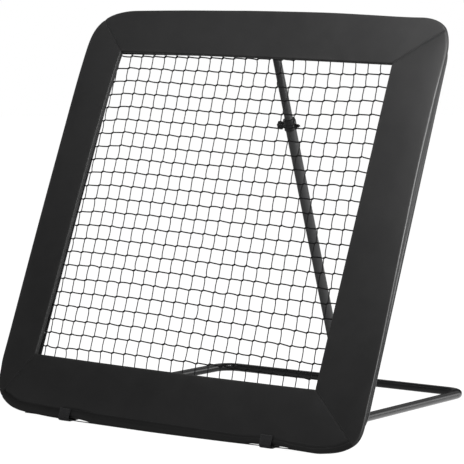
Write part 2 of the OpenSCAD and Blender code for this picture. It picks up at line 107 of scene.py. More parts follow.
# ---------------------------------------------------------------- materials
class Graph:
    """Short-hand for building a node material."""

    def __init__(self, name):
        self.mat = bpy.data.materials.new(name)
        self.mat.use_nodes = True
        self.nt = self.mat.node_tree
        self.nt.nodes.clear()
        self.out = self.nt.nodes.new("ShaderNodeOutputMaterial")
        self.bsdf = self.nt.nodes.new("ShaderNodeBsdfPrincipled")
        self.link(self.bsdf.outputs[0], self.out.inputs[0])

    def link(self, a, b):
        self.nt.links.new(a, b)

    def node(self, kind, **values):
        n = self.nt.nodes.new("ShaderNode" + kind)
        for k, v in values.items():
            if hasattr(n, k):
                setattr(n, k, v)
            else:
                self.put(n.inputs[k.replace("_", " ")], v)
        return n

    def put(self, socket, v):
        if isinstance(v, bpy.types.NodeSocket):
            self.link(v, socket)
        elif isinstance(v, bpy.types.Node):
            self.link(v.outputs[0], socket)
        elif isinstance(v, tuple) and len(v) == 3 and socket.type == "RGBA":
            socket.default_value = (*v, 1)
        else:
            socket.default_value = v

    def set(self, **values):
        for k, v in values.items():
            self.put(self.bsdf.inputs[k.replace("_", " ")], v)

    def coords(self, scale=(1, 1, 1), kind="Object"):
        tc = self.node("TexCoord")
        mp = self.node("Mapping")
        mp.inputs["Scale"].default_value = scale
        self.link(tc.outputs[kind], mp.inputs[0])
        return mp.outputs[0]

    def noise(self, scale, detail=4.0, rough=0.5, vec=None, dist=0.0):
        n = self.node("TexNoise", Scale=scale, Detail=detail, Roughness=rough, Distortion=dist)
        if vec is not None:
            self.link(vec, n.inputs["Vector"])
        return n.outputs[0]

    def math(self, op, a, b=0.0, clamp=False):
        n = self.node("Math", operation=op)
        n.use_clamp = clamp
        self.put(n.inputs[0], a)
        self.put(n.inputs[1], b)
        return n.outputs[0]

    def ramp(self, fac, stops):
        n = self.node("ValToRGB")
        e = n.color_ramp.elements
        while len(e) > 1:
            e.remove(e[0])
        e[0].position, e[0].color = stops[0][0], self.rgba(stops[0][1])
        for pos, col in stops[1:]:
            x = e.new(pos)
            x.color = self.rgba(col)
        self.put(n.inputs[0], fac)
        return n.outputs[0]

    @staticmethod
    def rgba(c):
        return (c, c, c, 1) if isinstance(c, (int, float)) else (*c, 1)

    def mix(self, fac, a, b):
        n = self.node("Mix", data_type="RGBA")
        self.put(n.inputs[0], fac)
        for s, v in ((n.inputs[6], a), (n.inputs[7], b)):
            self.put(s, self.rgba(v)[:3] if isinstance(v, (int, float)) else v)
        return n.outputs[2]

    def bump(self, height, distance, strength=1.0, normal=None):
        n = self.node("Bump", Strength=strength, Distance=distance)
        self.put(n.inputs["Height"], height)
        if normal is not None:
            self.link(normal, n.inputs["Normal"])
        return n.outputs[0]

    def attribute(self, name, output="Fac"):
        n = self.node("Attribute")
        n.attribute_name = name
        return n.outputs[output]


def steel_black():
    g = Graph("powder_coated_black_steel")
    co = g.coords()
    patch = g.noise(9, 3, 0.55, co)
    fine = g.noise(420, 2, 0.6, co)
    chips = g.ramp(g.noise(120, 6, 0.7, co), [(0.0, 0.0), (0.69, 0.0), (0.74, 1.0)])
    base = g.mix(patch, (0.0075, 0.0078, 0.0085), (0.013, 0.0132, 0.014))
    g.set(Base_Color=g.mix(g.math("MULTIPLY", chips, 0.35), base, (0.035, 0.034, 0.033)))
    g.set(Roughness=g.ramp(patch, [(0.25, 0.24), (0.75, 0.34)]))
    g.set(Normal=g.bump(fine, 0.00012, 0.35))
    g.set(Coat_Weight=0.25, Coat_Roughness=0.12, Specular_IOR_Level=0.5)
    return g.mat


def strut_black():
    g = Graph("satin_black_steel")
    co = g.coords()
    patch = g.noise(7, 3, 0.55, co)
    fine = g.noise(500, 2, 0.6, co)
    scuff = g.ramp(g.noise(60, 5, 0.72, g.coords((1, 1, 0.12))), [(0.55, 0.0), (0.75, 1.0)])
    g.set(Base_Color=g.mix(patch, (0.060, 0.0605, 0.062), (0.076, 0.0765, 0.078)))
    g.set(Roughness=g.math("ADD", g.ramp(patch, [(0.3, 0.34), (0.75, 0.42)]), g.math("MULTIPLY", scuff, 0.1)))
    g.set(Normal=g.bump(fine, 0.0001, 0.3))
    g.set(Specular_IOR_Level=0.5)
    return g.mat


def zinc():
    g = Graph("zinc_plated_steel")
    co = g.coords()
    spangle = g.node("TexVoronoi", Scale=900.0)
    g.link(co, spangle.inputs["Vector"])
    patch = g.noise(60, 4, 0.6, co)
    g.set(Base_Color=g.mix(patch, (0.50, 0.51, 0.52), (0.68, 0.69, 0.70)))
    g.set(Metallic=1.0, Roughness=g.ramp(patch, [(0.3, 0.24), (0.8, 0.42)]))
    g.set(Normal=g.bump(spangle.outputs[0], 0.00006, 0.3))
    return g.mat


def black_zinc():
    g = Graph("black_oxide_steel")
    co = g.coords()
    patch = g.noise(150, 4, 0.6, co)
    g.set(Base_Color=g.mix(patch, (0.030, 0.030, 0.031), (0.075, 0.074, 0.073)))
    g.set(Metallic=0.85, Roughness=g.ramp(patch, [(0.3, 0.25), (0.8, 0.45)]))
    g.set(Normal=g.bump(g.noise(900, 3, 0.6, co), 0.00008, 0.4))
    return g.mat


def vinyl():
    g = Graph("pvc_coated_cover")
    co = g.coords()
    grain = g.node("TexVoronoi", Scale=650.0, feature="SMOOTH_F1")
    g.link(co, grain.inputs["Vector"])
    pores = g.noise(1500, 2, 0.6, co)
    cloud = g.noise(5.5, 5, 0.6, co, 0.6)
    soft = g.noise(28, 4, 0.55, co, 0.4)
    rub = g.attribute("edge")
    tone = g.math("ADD", g.math("MULTIPLY", cloud, 0.7), g.math("MULTIPLY", soft, 0.3))
    base = g.mix(g.ramp(tone, [(0.3, 0.0), (0.7, 1.0)]), (0.0165, 0.0165, 0.0168), (0.0255, 0.0253, 0.0255))
    worn = g.math("MULTIPLY", rub, g.math("MULTIPLY", soft, 0.5))
    base = g.mix(worn, base, (0.055, 0.054, 0.053))
    # painted shade: the cover darkens to near black at the hem's crease and a little less along the band below it, on
    # top of the groove's real shading
    base = g.mix(g.math("MULTIPLY", g.attribute("painted_crease_shade"), 0.8), base, (0.004, 0.004, 0.004))
    # painted highlight: the side panels' outer front edge is mixed towards light grey, standing in for light glinting
    # along that edge
    g.set(Base_Color=g.mix(g.attribute("painted_rim_highlight"), base, (0.24, 0.24, 0.24)))
    g.set(Roughness=g.math("SUBTRACT", g.ramp(tone, [(0.3, 0.50), (0.75, 0.60)]), g.math("MULTIPLY", rub, 0.10)))
    height = g.math("ADD", g.math("MULTIPLY", grain.outputs[0], 0.8), g.math("MULTIPLY", pores, 0.25))
    n1 = g.bump(soft, 0.0012, 0.30)
    g.set(Normal=g.bump(height, 0.00022, 0.35, n1))
    g.set(Specular_IOR_Level=0.42, Sheen_Weight=0.06, Sheen_Roughness=0.4)
    return g.mat


def webbing(name, low, high, rib=2.0, cross=2.4):
    """Woven band: UV in millimetres, along then across."""
    g = Graph(name)
    uv = g.node("UVMap")
    uv.uv_map = "band"
    sep = g.node("SeparateXYZ")
    g.link(uv.outputs[0], sep.inputs[0])
    u, v = sep.outputs[0], sep.outputs[1]
    a = g.math("SINE", g.math("MULTIPLY", u, 2 * math.pi / rib))
    b = g.math("SINE", g.math("MULTIPLY", v, 2 * math.pi / cross))
    weave = g.math("ABSOLUTE", g.math("MULTIPLY", a, b))
    fuzz = g.noise(2400, 3, 0.7, g.coords())
    h = g.math("ADD", weave, g.math("MULTIPLY", fuzz, 0.35))
    g.set(Base_Color=g.mix(g.math("MULTIPLY", h, 0.75, True), low, high))
    g.set(Roughness=g.ramp(fuzz, [(0.3, 0.62), (0.7, 0.8)]))
    g.set(Normal=g.bump(h, 0.0004, 0.6))
    g.set(Sheen_Weight=0.18, Sheen_Roughness=0.5, Specular_IOR_Level=0.3)
    return g.mat


def twine():
    """Twisted cord: UV is millimetres along and turns round."""
    g = Graph("braided_net_twine")
    uv = g.node("UVMap")
    uv.uv_map = "band"
    sep = g.node("SeparateXYZ")
    g.link(uv.outputs[0], sep.inputs[0])
    lay = g.math("ADD", g.math("MULTIPLY", sep.outputs[0], 2 * math.pi / 2.6), g.math("MULTIPLY", sep.outputs[1], 2 * math.pi * 2))
    strand = g.math("ABSOLUTE", g.math("SINE", lay))
    fuzz = g.noise(3000, 3, 0.7, g.coords())
    h = g.math("ADD", strand, g.math("MULTIPLY", fuzz, 0.4))
    g.set(Base_Color=g.mix(g.math("MULTIPLY", h, 0.7, True), (0.002, 0.002, 0.0022), (0.009, 0.009, 0.0095)))
    g.set(Roughness=0.72, Normal=g.bump(h, 0.0003, 0.7))
    g.set(Specular_IOR_Level=0.25)
    return g.mat


def plastic():
    g = Graph("moulded_black_plastic")
    co = g.coords()
    patch = g.noise(80, 3, 0.5, co)
    tex = g.noise(1800, 2, 0.5, co)
    g.set(Base_Color=g.mix(patch, (0.016, 0.016, 0.0165), (0.028, 0.028, 0.0285)))
    g.set(Roughness=g.ramp(patch, [(0.3, 0.20), (0.8, 0.32)]))
    g.set(Normal=g.bump(tex, 0.00008, 0.35))
    g.set(Specular_IOR_Level=0.55)
    return g.mat


def brass():
    g = Graph("brass_insert_metal")
    patch = g.noise(300, 4, 0.6, g.coords())
    g.set(Base_Color=g.mix(patch, (0.42, 0.28, 0.09), (0.62, 0.44, 0.16)), Metallic=1.0)
    g.set(Roughness=g.ramp(patch, [(0.3, 0.25), (0.8, 0.4)]), Normal=g.bump(patch, 0.00005, 0.3))
    return g.mat


def foam():
    g = Graph("closed_cell_foam")
    co = g.coords()
    cell = g.node("TexVoronoi", Scale=480.0, feature="F1")
    g.link(co, cell.inputs["Vector"])
    patch = g.noise(30, 4, 0.6, co)
    g.set(Base_Color=g.mix(patch, (0.20, 0.20, 0.21), (0.29, 0.29, 0.30)), Roughness=0.9)
    g.set(Normal=g.bump(cell.outputs[0], 0.0006, 0.6), Specular_IOR_Level=0.2)
    return g.mat


def thread():
    g = Graph("sewing_thread")
    fuzz = g.noise(5000, 3, 0.7, g.coords())
    g.set(Base_Color=g.mix(fuzz, (0.018, 0.018, 0.018), (0.050, 0.050, 0.050)), Roughness=0.6)
    g.set(Normal=g.bump(fuzz, 0.0001, 0.5), Sheen_Weight=0.1, Sheen_Roughness=0.4)
    return g.mat


M = {
    "tube": steel_black(), "strut": strut_black(), "zinc": zinc(), "black_zinc": black_zinc(), "vinyl": vinyl(),
    "webbing": webbing("woven_border_webbing", (0.006, 0.006, 0.0065), (0.024, 0.024, 0.025)),
    "strap": webbing("woven_strap", (0.010, 0.010, 0.011), (0.034, 0.034, 0.036), 1.6, 2.0),
    "twine": twine(), "plastic": plastic(), "brass": brass(), "foam": foam(), "thread": thread(),
}


# ---------------------------------------------------------------- mesh help
def make(name, verts, faces, mat, body, slot, uv=None, world=False, smooth=True, replaces=()):
    """A mesh piece from frame-local millimetres (or metres if world)."""
    co = np.asarray(verts, float).reshape(-1, 3) if world else to_world(verts)
    me = bpy.data.meshes.new(name)
    me.from_pydata(co.tolist(), [], [list(map(int, f)) for f in faces])
    me.update()
    if uv is not None:
        layer = me.uv_layers.new(name="band")
        loops = np.zeros(len(me.loops), np.int32)
        me.loops.foreach_get("vertex_index", loops)
        layer.data.foreach_set("uv", np.asarray(uv, np.float32)[loops].ravel())
    if smooth:
        me.shade_smooth()
    ob = bpy.data.objects.new(name, me)
    scene.collection.objects.link(ob)
    me.materials.append(mat)
    if body:
        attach(ob, body)
    if replaces:
        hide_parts(*replaces)
    return ob


class Bag:
    """Collects many small meshes into one."""

    def __init__(self):
        self.v, self.f, self.uv, self.n = [], [], [], 0

    def add(self, v, f, uv=None):
        v = np.asarray(v, float).reshape(-1, 3)
        self.v.append(v)
        self.f.extend([[i + self.n for i in face] for face in f])
        self.uv.append(np.zeros((len(v), 2)) if uv is None else np.asarray(uv, float))
        self.n += len(v)

    def make(self, name, *a, **k):
        return make(name, np.concatenate(self.v), self.f, *a, uv=np.concatenate(self.uv), **k)


def frames_along(path, closed=False):
    """Tangents and a steady pair of normals along a path."""
    p = np.asarray(path, float)
    t = np.roll(p, -1, 0) - np.roll(p, 1, 0) if closed else np.gradient(p, axis=0)
    t /= np.linalg.norm(t, axis=1)[:, None]
    ref = np.array([0.0, 1.0, 0.0]) if abs(t[0][1]) < 0.9 else np.array([1.0, 0.0, 0.0])
    n = np.zeros_like(p)
    n[0] = ref - t[0] * (ref @ t[0])
    n[0] /= np.linalg.norm(n[0])
    for i in range(1, len(p)):
        n[i] = n[i - 1] - t[i] * (n[i - 1] @ t[i])
        n[i] /= np.linalg.norm(n[i])
    return t, n, np.cross(t, n)


def tube(path, r, sides=8, closed=False, caps=True):
    """Vertices, faces and UV of a round tube along a path."""
    p = np.asarray(path, float)
    t, n, b = frames_along(p, closed)
    a = np.arange(sides) * 2 * math.pi / sides
    rr = np.broadcast_to(np.asarray(r, float), (len(p),))
    v = p[:, None] + rr[:, None, None] * (np.cos(a)[None, :, None] * n[:, None] + np.sin(a)[None, :, None] * b[:, None])
    k = len(p)
    rings = range(k if closed else k - 1)
    f = [(i * sides + j, i * sides + (j + 1) % sides, ((i + 1) % k) * sides + (j + 1) % sides, ((i + 1) % k) * sides + j) for i in rings for j in range(sides)]
    along = np.concatenate([[0], np.cumsum(np.linalg.norm(np.diff(p, axis=0), axis=1))])
    uv = np.stack([np.repeat(along, sides), np.tile(np.arange(sides) / sides, k)], 1)
    if caps and not closed:
        f.append(tuple(range(sides))[::-1])
        f.append(tuple((k - 1) * sides + j for j in range(sides)))
    return v.reshape(-1, 3), f, uv


def smooth_path(points, step, closed=False):
    """Catmull-Rom through the points, resampled at about the given step."""
    p = np.asarray(points, float)
    ext = np.vstack([p[-1:], p, p[:2]]) if closed else np.vstack([2 * p[0] - p[1], p, 2 * p[-1] - p[-2]])
    out = []
    for i in range(1, len(ext) - 2):
        a, b, c, d = ext[i - 1:i + 3]
        for t in np.linspace(0, 1, 12, endpoint=False):
            out.append(0.5 * (2 * b + (c - a) * t + (2 * a - 5 * b + 4 * c - d) * t * t + (3 * b - a - 3 * c + d) * t ** 3))
    if not closed:
        out.append(ext[-2])
    out = np.array(out)
    if closed:
        out = np.vstack([out, out[:1]])
    s = np.concatenate([[0], np.cumsum(np.linalg.norm(np.diff(out, axis=0), axis=1))])
    k = max(4, int(round(s[-1] / step)))
    at = np.linspace(0, s[-1], k + 1)[: k if closed else k + 1]
    return np.stack([np.interp(at, s, out[:, i]) for i in range(out.shape[1])], 1)


def resample(p, k):
    p = np.asarray(p, float)
    s = np.concatenate([[0], np.cumsum(np.linalg.norm(np.diff(p, axis=0), axis=1))])
    at = np.linspace(0, s[-1], k) if isinstance(k, int) else np.asarray(k) * s[-1]
    return np.stack([np.interp(at, s, p[:, i]) for i in range(p.shape[1])], 1)


# ---------------------------------------------------------------- pad edges
def fit(points, deg):
    a = np.asarray(points, float)
    return np.poly1d(np.polyfit(a[:, 0], a[:, 1], deg))


# opening, where its edges appear in the plane of the pad's front
IN_L = fit([(140, -494), (199, -490), (272, -486), (345, -484.5), (493, -482), (642, -482), (793, -481), (946, -470), (1020, -467), (1100, -465.5)], 3)
IN_R = fit([(177, 461), (322, 464), (458, 466), (594, 465.5), (735, 466.5), (875, 468.5), (1016, 470.5), (1100, 472)], 2)
IN_B = fit([(-479, 176), (-332, 173.5), (-188, 170.5), (-48, 168.5), (89, 167.5), (222, 167), (352, 167), (462, 165.5)], 2)
IN_T = fit([(-467, 1121), (-321, 1117.5), (-176, 1114.5), (-34, 1111.5), (104, 1109), (239, 1106), (371, 1102), (471, 1098.5)], 2)


def opening():
    """The opening's four sides, bottom, right, top, left, as x, z lists that share their corners."""
    def cross(side, end):
        v = 170.0 if end is IN_B else 1110.0
        for _ in range(8):
            x = side(v)
            v = end(x)
        return x, v

    bl, br, tr, tl = cross(IN_L, IN_B), cross(IN_R, IN_B), cross(IN_R, IN_T), cross(IN_L, IN_T)
    k = 40
    bottom = [(x, IN_B(x)) for x in np.linspace(bl[0], br[0], k)]
    right = [(IN_R(v), v) for v in np.linspace(br[1], tr[1], k)]
    top = [(x, IN_T(x)) for x in np.linspace(tr[0], tl[0], k)]
    left = [(IN_L(v), v) for v in np.linspace(tl[1], bl[1], k)]
    # from where each side shows to where its wall is
    real = {}
    real["bottom"] = np.array([np.add(slide(x, v, 0, 5.6), (0, 0.4)) for x, v in bottom])
    real["right"] = np.array([np.add(slide(x, v, 0, 4.2), (-1.0, 0)) for x, v in right])
    real["top"] = np.array([np.add(slide(x, v, 0, 16.8), (0, -0.3)) for x, v in top])
    real["left"] = np.array([np.add(slide(x, v, 0, 18.6), (1.2, 0)) for x, v in left])
    order = ["bottom", "right", "top", "left"]
    for i, name in enumerate(order):  # join the sides at their corners
        nxt = order[(i + 1) % 4]
        a, b = real[name], real[nxt]
        if name in ("bottom", "top"):
            corner = np.array([b[0][0], a[-1][1]])
        else:
            corner = np.array([a[-1][0], b[0][1]])
        a[-1] = b[0] = corner
    for name in order:
        a = real[name]
        # resample each run evenly between its moved corners
        q = a.copy()
        q[1:-1] = a[1:-1]
        real[name] = resample(q, k)
    return real


OUT_L = [(150, -628), (253, -628), (486, -628), (644, -627), (803, -625), (964, -622.5), (1046, -620.5)]
OUT_T = [(-480, 1264), (-405, 1265.5), (-260, 1267), (-100, 1267), (-45, 1267), (94, 1265), (230, 1262), (363, 1256), (440, 1252), (500, 1249.5)]
OUT_R = [(150, 631.5), (200, 632.5), (300, 632.5), (400, 631), (600, 628), (800, 625.5), (1000, 628), (1090, 631.5)]
OUT_B = [(-450, -0.5), (-405, -3.0), (-300, -6.0), (-48, -8.0), (88, -7.5), (221, -6.5), (414, -3.5), (500, -5.5)]
# the ring's rounded corners
TURN_BL = [(-622, 118), (-619, 88), (-611, 64), (-600.5, 46.5), (-589, 34), (-574, 23.5), (-556, 14), (-536, 7.5), (-515, 3.5), (-485, 1)]
TURN_BR = [(528, -2.5), (548, 0.5), (567, 5), (585, 11.5), (602, 21), (617, 33.5), (627, 51), (631, 75), (631.5, 108)]
TURN_TR = [(633, 1130), (632.5, 1158), (630, 1175), (626, 1191), (620, 1206), (612, 1220), (599, 1231.5), (580, 1240.5), (561, 1245.5), (542, 1248)]
TURN_TL = [(-517, 1257.5), (-534, 1253), (-551, 1246.5), (-566.5, 1237.5), (-580, 1226), (-592, 1212), (-600.5, 1197), (-607, 1178), (-611, 1156), (-613.5, 1130), (-615.5, 1097)]


def outline():
    """The ring's outer wall, starting at the bottom left seam and running bottom, right, top, left."""
    left = [tuple(np.add(slide(x, v, 8, 3.2), (-1.6, 0))) for v, x in OUT_L]
    top = [tuple(np.add(slide(x, v, 8, 4.9), (0, 0.6))) for x, v in OUT_T]
    ring = OUT_B + TURN_BR + [(x, v) for v, x in OUT_R] + TURN_TR + top[::-1] + TURN_TL + left[::-1] + TURN_BL
    return smooth_path([tuple(map(float, q)) for q in ring], 3.0, closed=True)


RING = outline()
INNER = opening()
SEAM_AT = {"bl": (-570, 64), "br": (611, 29), "tr": (602, 1204), "tl": (-560, 1218)}


def ring_span(a, b):
    """The outer wall from the point nearest a to the point nearest b, in ring order."""
    ia = int(np.argmin(np.linalg.norm(RING - np.array(a), axis=1)))
    ib = int(np.argmin(np.linalg.norm(RING - np.array(b), axis=1)))
    if ib <= ia:
        ib += len(RING)
    return RING[[i % len(RING) for i in range(ia, ib + 1)]]


PANELS = {
    "bottom": (INNER["bottom"], ring_span(SEAM_AT["bl"], SEAM_AT["br"])),
    "right": (INNER["right"], ring_span(SEAM_AT["br"], SEAM_AT["tr"])),
    "top": (INNER["top"], ring_span(SEAM_AT["tr"], SEAM_AT["tl"])),
    "left": (INNER["left"], ring_span(SEAM_AT["tl"], SEAM_AT["bl"])),
}


def stations(n, length):
    """Shares of the length, closer together near both ends."""
    ends = np.array([0, 1.2, 2.6, 4.8, 8, 13, 20]) / length
    mid = np.linspace(28 / length, 1 - 28 / length, n)
    return np.concatenate([ends, mid, 1 - ends[::-1]])


def hem_of(x, side):
    """How far up the bottom panel's crease lies, and how far the hem is drawn up beside the straps."""
    if side != "bottom":
        return 0.0, 0.0
    crease = np.interp(x, [-560, -300, 0, 300, 560], [26, 25, 23, 17, 15])
    ends = np.clip((590 - abs(x)) / 60, 0, 1)
    lift = np.interp(x, [-378, -369, -364.5, -326, -322, -300, -268, -250], [0, 3, 5, 6.5, 8.5, 7, 4, 0])
    lift = lift + np.interp(x, [278, 292, 310, 326, 364, 370, 392, 410, 424], [0, 4.5, 3.5, 5, 5, 5.5, 4.5, 4, 0])
    return crease * ends, lift


# radius of the front's outer edge at the panel's start, middle and end
EDGE_R = {"bottom": (6.0, 6.0, 4.5), "right": (4.5, 3.4, 4.5), "top": (4.5, 6.0, 9.0), "left": (9.0, 9.5, 6.0)}


def section(a, b, side, x, shrink, crown, dip, share):
    """Loop of points of one cross-section from wall a to wall b, both in x, z: an array of x, y, z, a rub value, how
    free the point is, a painted edge highlight value and a painted crease shade value.
    """
    a, b = np.asarray(a, float), np.asarray(b, float)
    w = np.linalg.norm(b - a)
    u = (b - a) / w
    y0, y1 = 1.8 + shrink + dip, PAD_T - 0.4 - shrink
    lo, hi = shrink, w - shrink
    rf, rb = 5.5, 4.0
    ro = float(np.interp(share, [0, 0.14, 0.86, 1], [EDGE_R[side][0], EDGE_R[side][1], EDGE_R[side][1], EDGE_R[side][2]]))
    crease, _ = hem_of(x, side)
    # how strongly the painted highlight is laid on along the side panels' outer front edge
    highlight_share = float(np.interp(share, [0, 0.1, 0.2, 0.37, 0.46, 0.85, 0.94, 1], [0.05, 0.2, 0.5, 0.5, 1, 1, 0.45, 0.1])) if side in ("left", "right") else 0.0
    painted_rim_highlight, painted_crease_shade = {}, {}
    pts = []  # along the section, depth, rub, free
    # inner wall, from back to front
    for t in np.linspace(math.pi / 2, 0, 4):
        pts.append((lo + rb - rb * math.cos(t), y1 - rb + rb * math.sin(t), 0.0, 0))
    for t in np.linspace(0, math.pi / 2, 6):
        pts.append((lo + rf - rf * math.cos(t), y0 + rf - rf * math.sin(t), 0.5 + 0.5 * math.sin(2 * t), 0))
    front0, front1 = lo + rf, hi - ro
    if crease > 0.5:
        front1 = hi - max(crease, 9.0)
    n = 20
    for t in np.linspace(0, 1, n + 2)[1:-1]:
        s = front0 + (front1 - front0) * t
        k = abs(2 * t - 1)
        pts.append((s, y0 - crown * (1 - k ** 2.4), 0.35 * k ** 8, 1))
    if crease > 0.5:
        # the hem: a soft crease, then a band that hangs down nearly to the floor; the crease and the band carry painted
        # shade
        c = max(crease, 9.0)
        blend = min(1.0, crease / 14.0)
        painted_crease_shade[len(pts)] = 1.0
        pts.append((hi - c, y0 + 2.0, 0.3, 0))
        for t in (0.12, 0.3, 0.5, 0.7, 0.86, 1.0):
            painted_crease_shade[len(pts)] = 0.75
            s_round = hi - ro + ro * math.sin(t * math.pi / 2)
            y_round = y0 + ro - ro * math.cos(t * math.pi / 2)
            s_hem = hi - c + c * (t ** 0.95)
            y_hem = y0 + 0.7 - 0.5 * math.sin(math.pi * t) + 5.2 * t ** 4
            pts.append((s_hem * blend + s_round * (1 - blend), y_hem * blend + y_round * (1 - blend), 0.25, 0))
    else:
        pts.append((front1, y0, 0.5, 0))
        for t in np.linspace(0, math.pi / 2, 7)[1:]:
            # the last points of the outer front rounding carry the painted highlight
            if t > 0.75:
                painted_rim_highlight[len(pts)] = highlight_share
            pts.append((hi - ro + ro * math.sin(t), y0 + ro - ro * math.cos(t), 0.5 + 0.5 * math.sin(2 * t), 0))
    wall = pts[-1][1]
    # the wall just behind the edge gets a little of the painted highlight
    for t, k in ((0.12, 0.0), (0.34, 0.0), (0.46, 0.12), (0.88, 0.12)):
        painted_rim_highlight[len(pts)] = k * highlight_share
        pts.append((hi, wall + (y1 - rb - wall) * t, 0.0, 0))
    for t in np.linspace(0, math.pi / 2, 4):
        pts.append((hi - rb + rb * math.cos(t), y1 - rb + rb * math.sin(t), 0.0, 0))
    for t in np.linspace(0, 1, 14)[1:-1]:
        pts.append((hi - rb + (lo + rb - hi + rb) * t, y1, 0.0, 0))
    pts = np.array(pts)
    out = np.zeros((len(pts), 7))
    out[:, 0] = a[0] + u[0] * pts[:, 0]
    out[:, 2] = a[1] + u[1] * pts[:, 0]
    out[:, 1] = pts[:, 1]
    out[:, 3] = pts[:, 2]
    out[:, 4] = pts[:, 3]
    for i, k in painted_rim_highlight.items():
        out[i, 5] = k
    for i, k in painted_crease_shade.items():
        out[i, 6] = k * min(1.0, crease / 12.0)
    return out


def panel_mesh(side, shrink, crown, gap):
    """Closed form of one panel: vertices, faces, rub values, pin weights."""
    inner, outer = PANELS[side]
    length = np.linalg.norm(np.diff(inner, axis=0), axis=1).sum()
    at = stations(int(length / 9), length)
    a, b = resample(inner, at), resample(outer, at)
    loops = []
    for i, s in enumerate(at):
        d = min(s, 1 - s) * length
        pa, pb = a[i].copy(), b[i].copy()
        pb[1] += hem_of(pb[0], side)[1]
        along = (inner[-1] - inner[0]) / np.linalg.norm(inner[-1] - inner[0])
        if d < 30:  # the mitre's gap
            push = gap * (1 - d / 30) * (1 if s < 0.5 else -1)
            pa, pb = pa + along * push, pb + along * push
        tight = (side == "right" and s < 0.5) or (side == "bottom" and s > 0.5)
        dip = (0.8 if tight else 2.0) * math.exp(-((d / 4.0) ** 2))
        c = crown * (1 - math.exp(-((d / 34.0) ** 2)))
        loops.append(section(pa, pb, side, (pa[0] + pb[0]) / 2, shrink, c, dip, s))
    loops = np.array(loops)
    k, n = loops.shape[:2]
    v = loops.reshape(-1, 7)
    f = [(i * n + j, i * n + (j + 1) % n, (i + 1) * n + (j + 1) % n, (i + 1) * n + j) for i in range(k - 1) for j in range(n)]
    # mitred ends: quads across the loop
    half = n // 2
    for base, flip in ((0, False), ((k - 1) * n, True)):
        for j in range(half - 1):
            q = (base + j, base + n - 1 - j, base + n - 2 - j, base + j + 1)
            f.append(q[::-1] if not flip else q)
    dist = np.minimum(at, 1 - at) * length
    pin_row = np.clip(1 - (dist - 4) / 10, 0, 1)
    pin = np.maximum(np.repeat(pin_row, n), 1 - v[:, 4])
    return v, f, pin, at * length, n


def outward(ob):
    bm = bmesh.new()
    bm.from_mesh(ob.data)
    bmesh.ops.recalc_face_normals(bm, faces=bm.faces)
    bm.to_mesh(ob.data)
    bm.free()


def apply_all(ob):
    """Applies the object's modifiers."""
    dg = bpy.context.evaluated_depsgraph_get()
    dg.update()
    new = bpy.data.meshes.new_from_object(ob.evaluated_get(dg), preserve_all_data_layers=True, depsgraph=dg)
    ob.modifiers.clear()
    old = ob.data
    ob.data = new
    bpy.data.meshes.remove(old)


def set_float(ob, name, values):
    at = ob.data.attributes.get(name) or ob.data.attributes.new(name, "FLOAT", "POINT")
    at.data.foreach_set("value", np.asarray(values, np.float32))


def swell(ob, pin, cap, pressure=4.0, frames=20):
    """Blows the closed cover up like a stuffed one with the cloth solver, caps how far each point moves, and keeps the result."""
    n = len(ob.data.vertices)
    rest = np.zeros(n * 3)
    ob.data.vertices.foreach_get("co", rest)
    rest = rest.reshape(-1, 3)
    group = ob.vertex_groups.new(name="pinned")
    for level in np.linspace(0.1, 1.0, 10):
        idx = np.where((pin > level - 0.1) & (pin <= level))[0]
        if len(idx):
            group.add([int(i) for i in idx], float(level), "REPLACE")
    mod = ob.modifiers.new("swell", "CLOTH")
    s = mod.settings
    s.quality = 4
    s.mass = 0.25
    s.use_pressure = True
    s.uniform_pressure_force = pressure
    s.effector_weights.gravity = 0
    s.tension_stiffness = s.compression_stiffness = 12
    s.shear_stiffness = 4
    s.bending_stiffness = 0.6
    s.vertex_group_mass = "pinned"
    s.pin_stiffness = 2
    mod.point_cache.frame_start, mod.point_cache.frame_end = 1, frames
    for fr in range(1, frames + 1):
        scene.frame_set(fr)
    dg = bpy.context.evaluated_depsgraph_get()
    e = ob.evaluated_get(dg)
    co = np.zeros(n * 3)
    e.data.vertices.foreach_get("co", co)
    co = co.reshape(-1, 3)
    ob.modifiers.clear()
    scene.frame_set(1)
    move = co - rest
    length = np.linalg.norm(move, axis=1)
    out_way = float((move @ np.array([0, -CL, SL]))[pin < 0.5].mean() * 1000)
    if not np.isfinite(length).all():
        print("swell failed on", ob.name)
        return
    keep = cap * np.tanh(length / cap)
    move *= (keep / np.maximum(length, 1e-9))[:, None]
    ob.data.vertices.foreach_set("co", (rest + move).ravel())
    ob.data.update()
    print("SWELL", ob.name, "mean", round(float(length.mean() * 1000), 2), "max", round(float(length.max() * 1000), 2), "mm; mean to the front", round(out_way, 2))


def keep_ends(ob, n):
    """Creases the outline of both mitred ends, so that smoothing doesn't draw them in."""
    me = ob.data
    last = len(me.vertices) - n
    ends = np.zeros(len(me.edges) * 2, int)
    me.edges.foreach_get("vertices", ends)
    a, b = ends.reshape(-1, 2).min(axis=1), ends.reshape(-1, 2).max(axis=1)
    ring = ((a < n) & (b < n)) | ((a >= last) & (b >= last))
    step = (b - a == 1) | (b - a == n - 1)
    at = me.attributes.get("crease_edge") or me.attributes.new("crease_edge", "FLOAT", "EDGE")
    at.data.foreach_set("value", (ring & step).astype(np.float32))


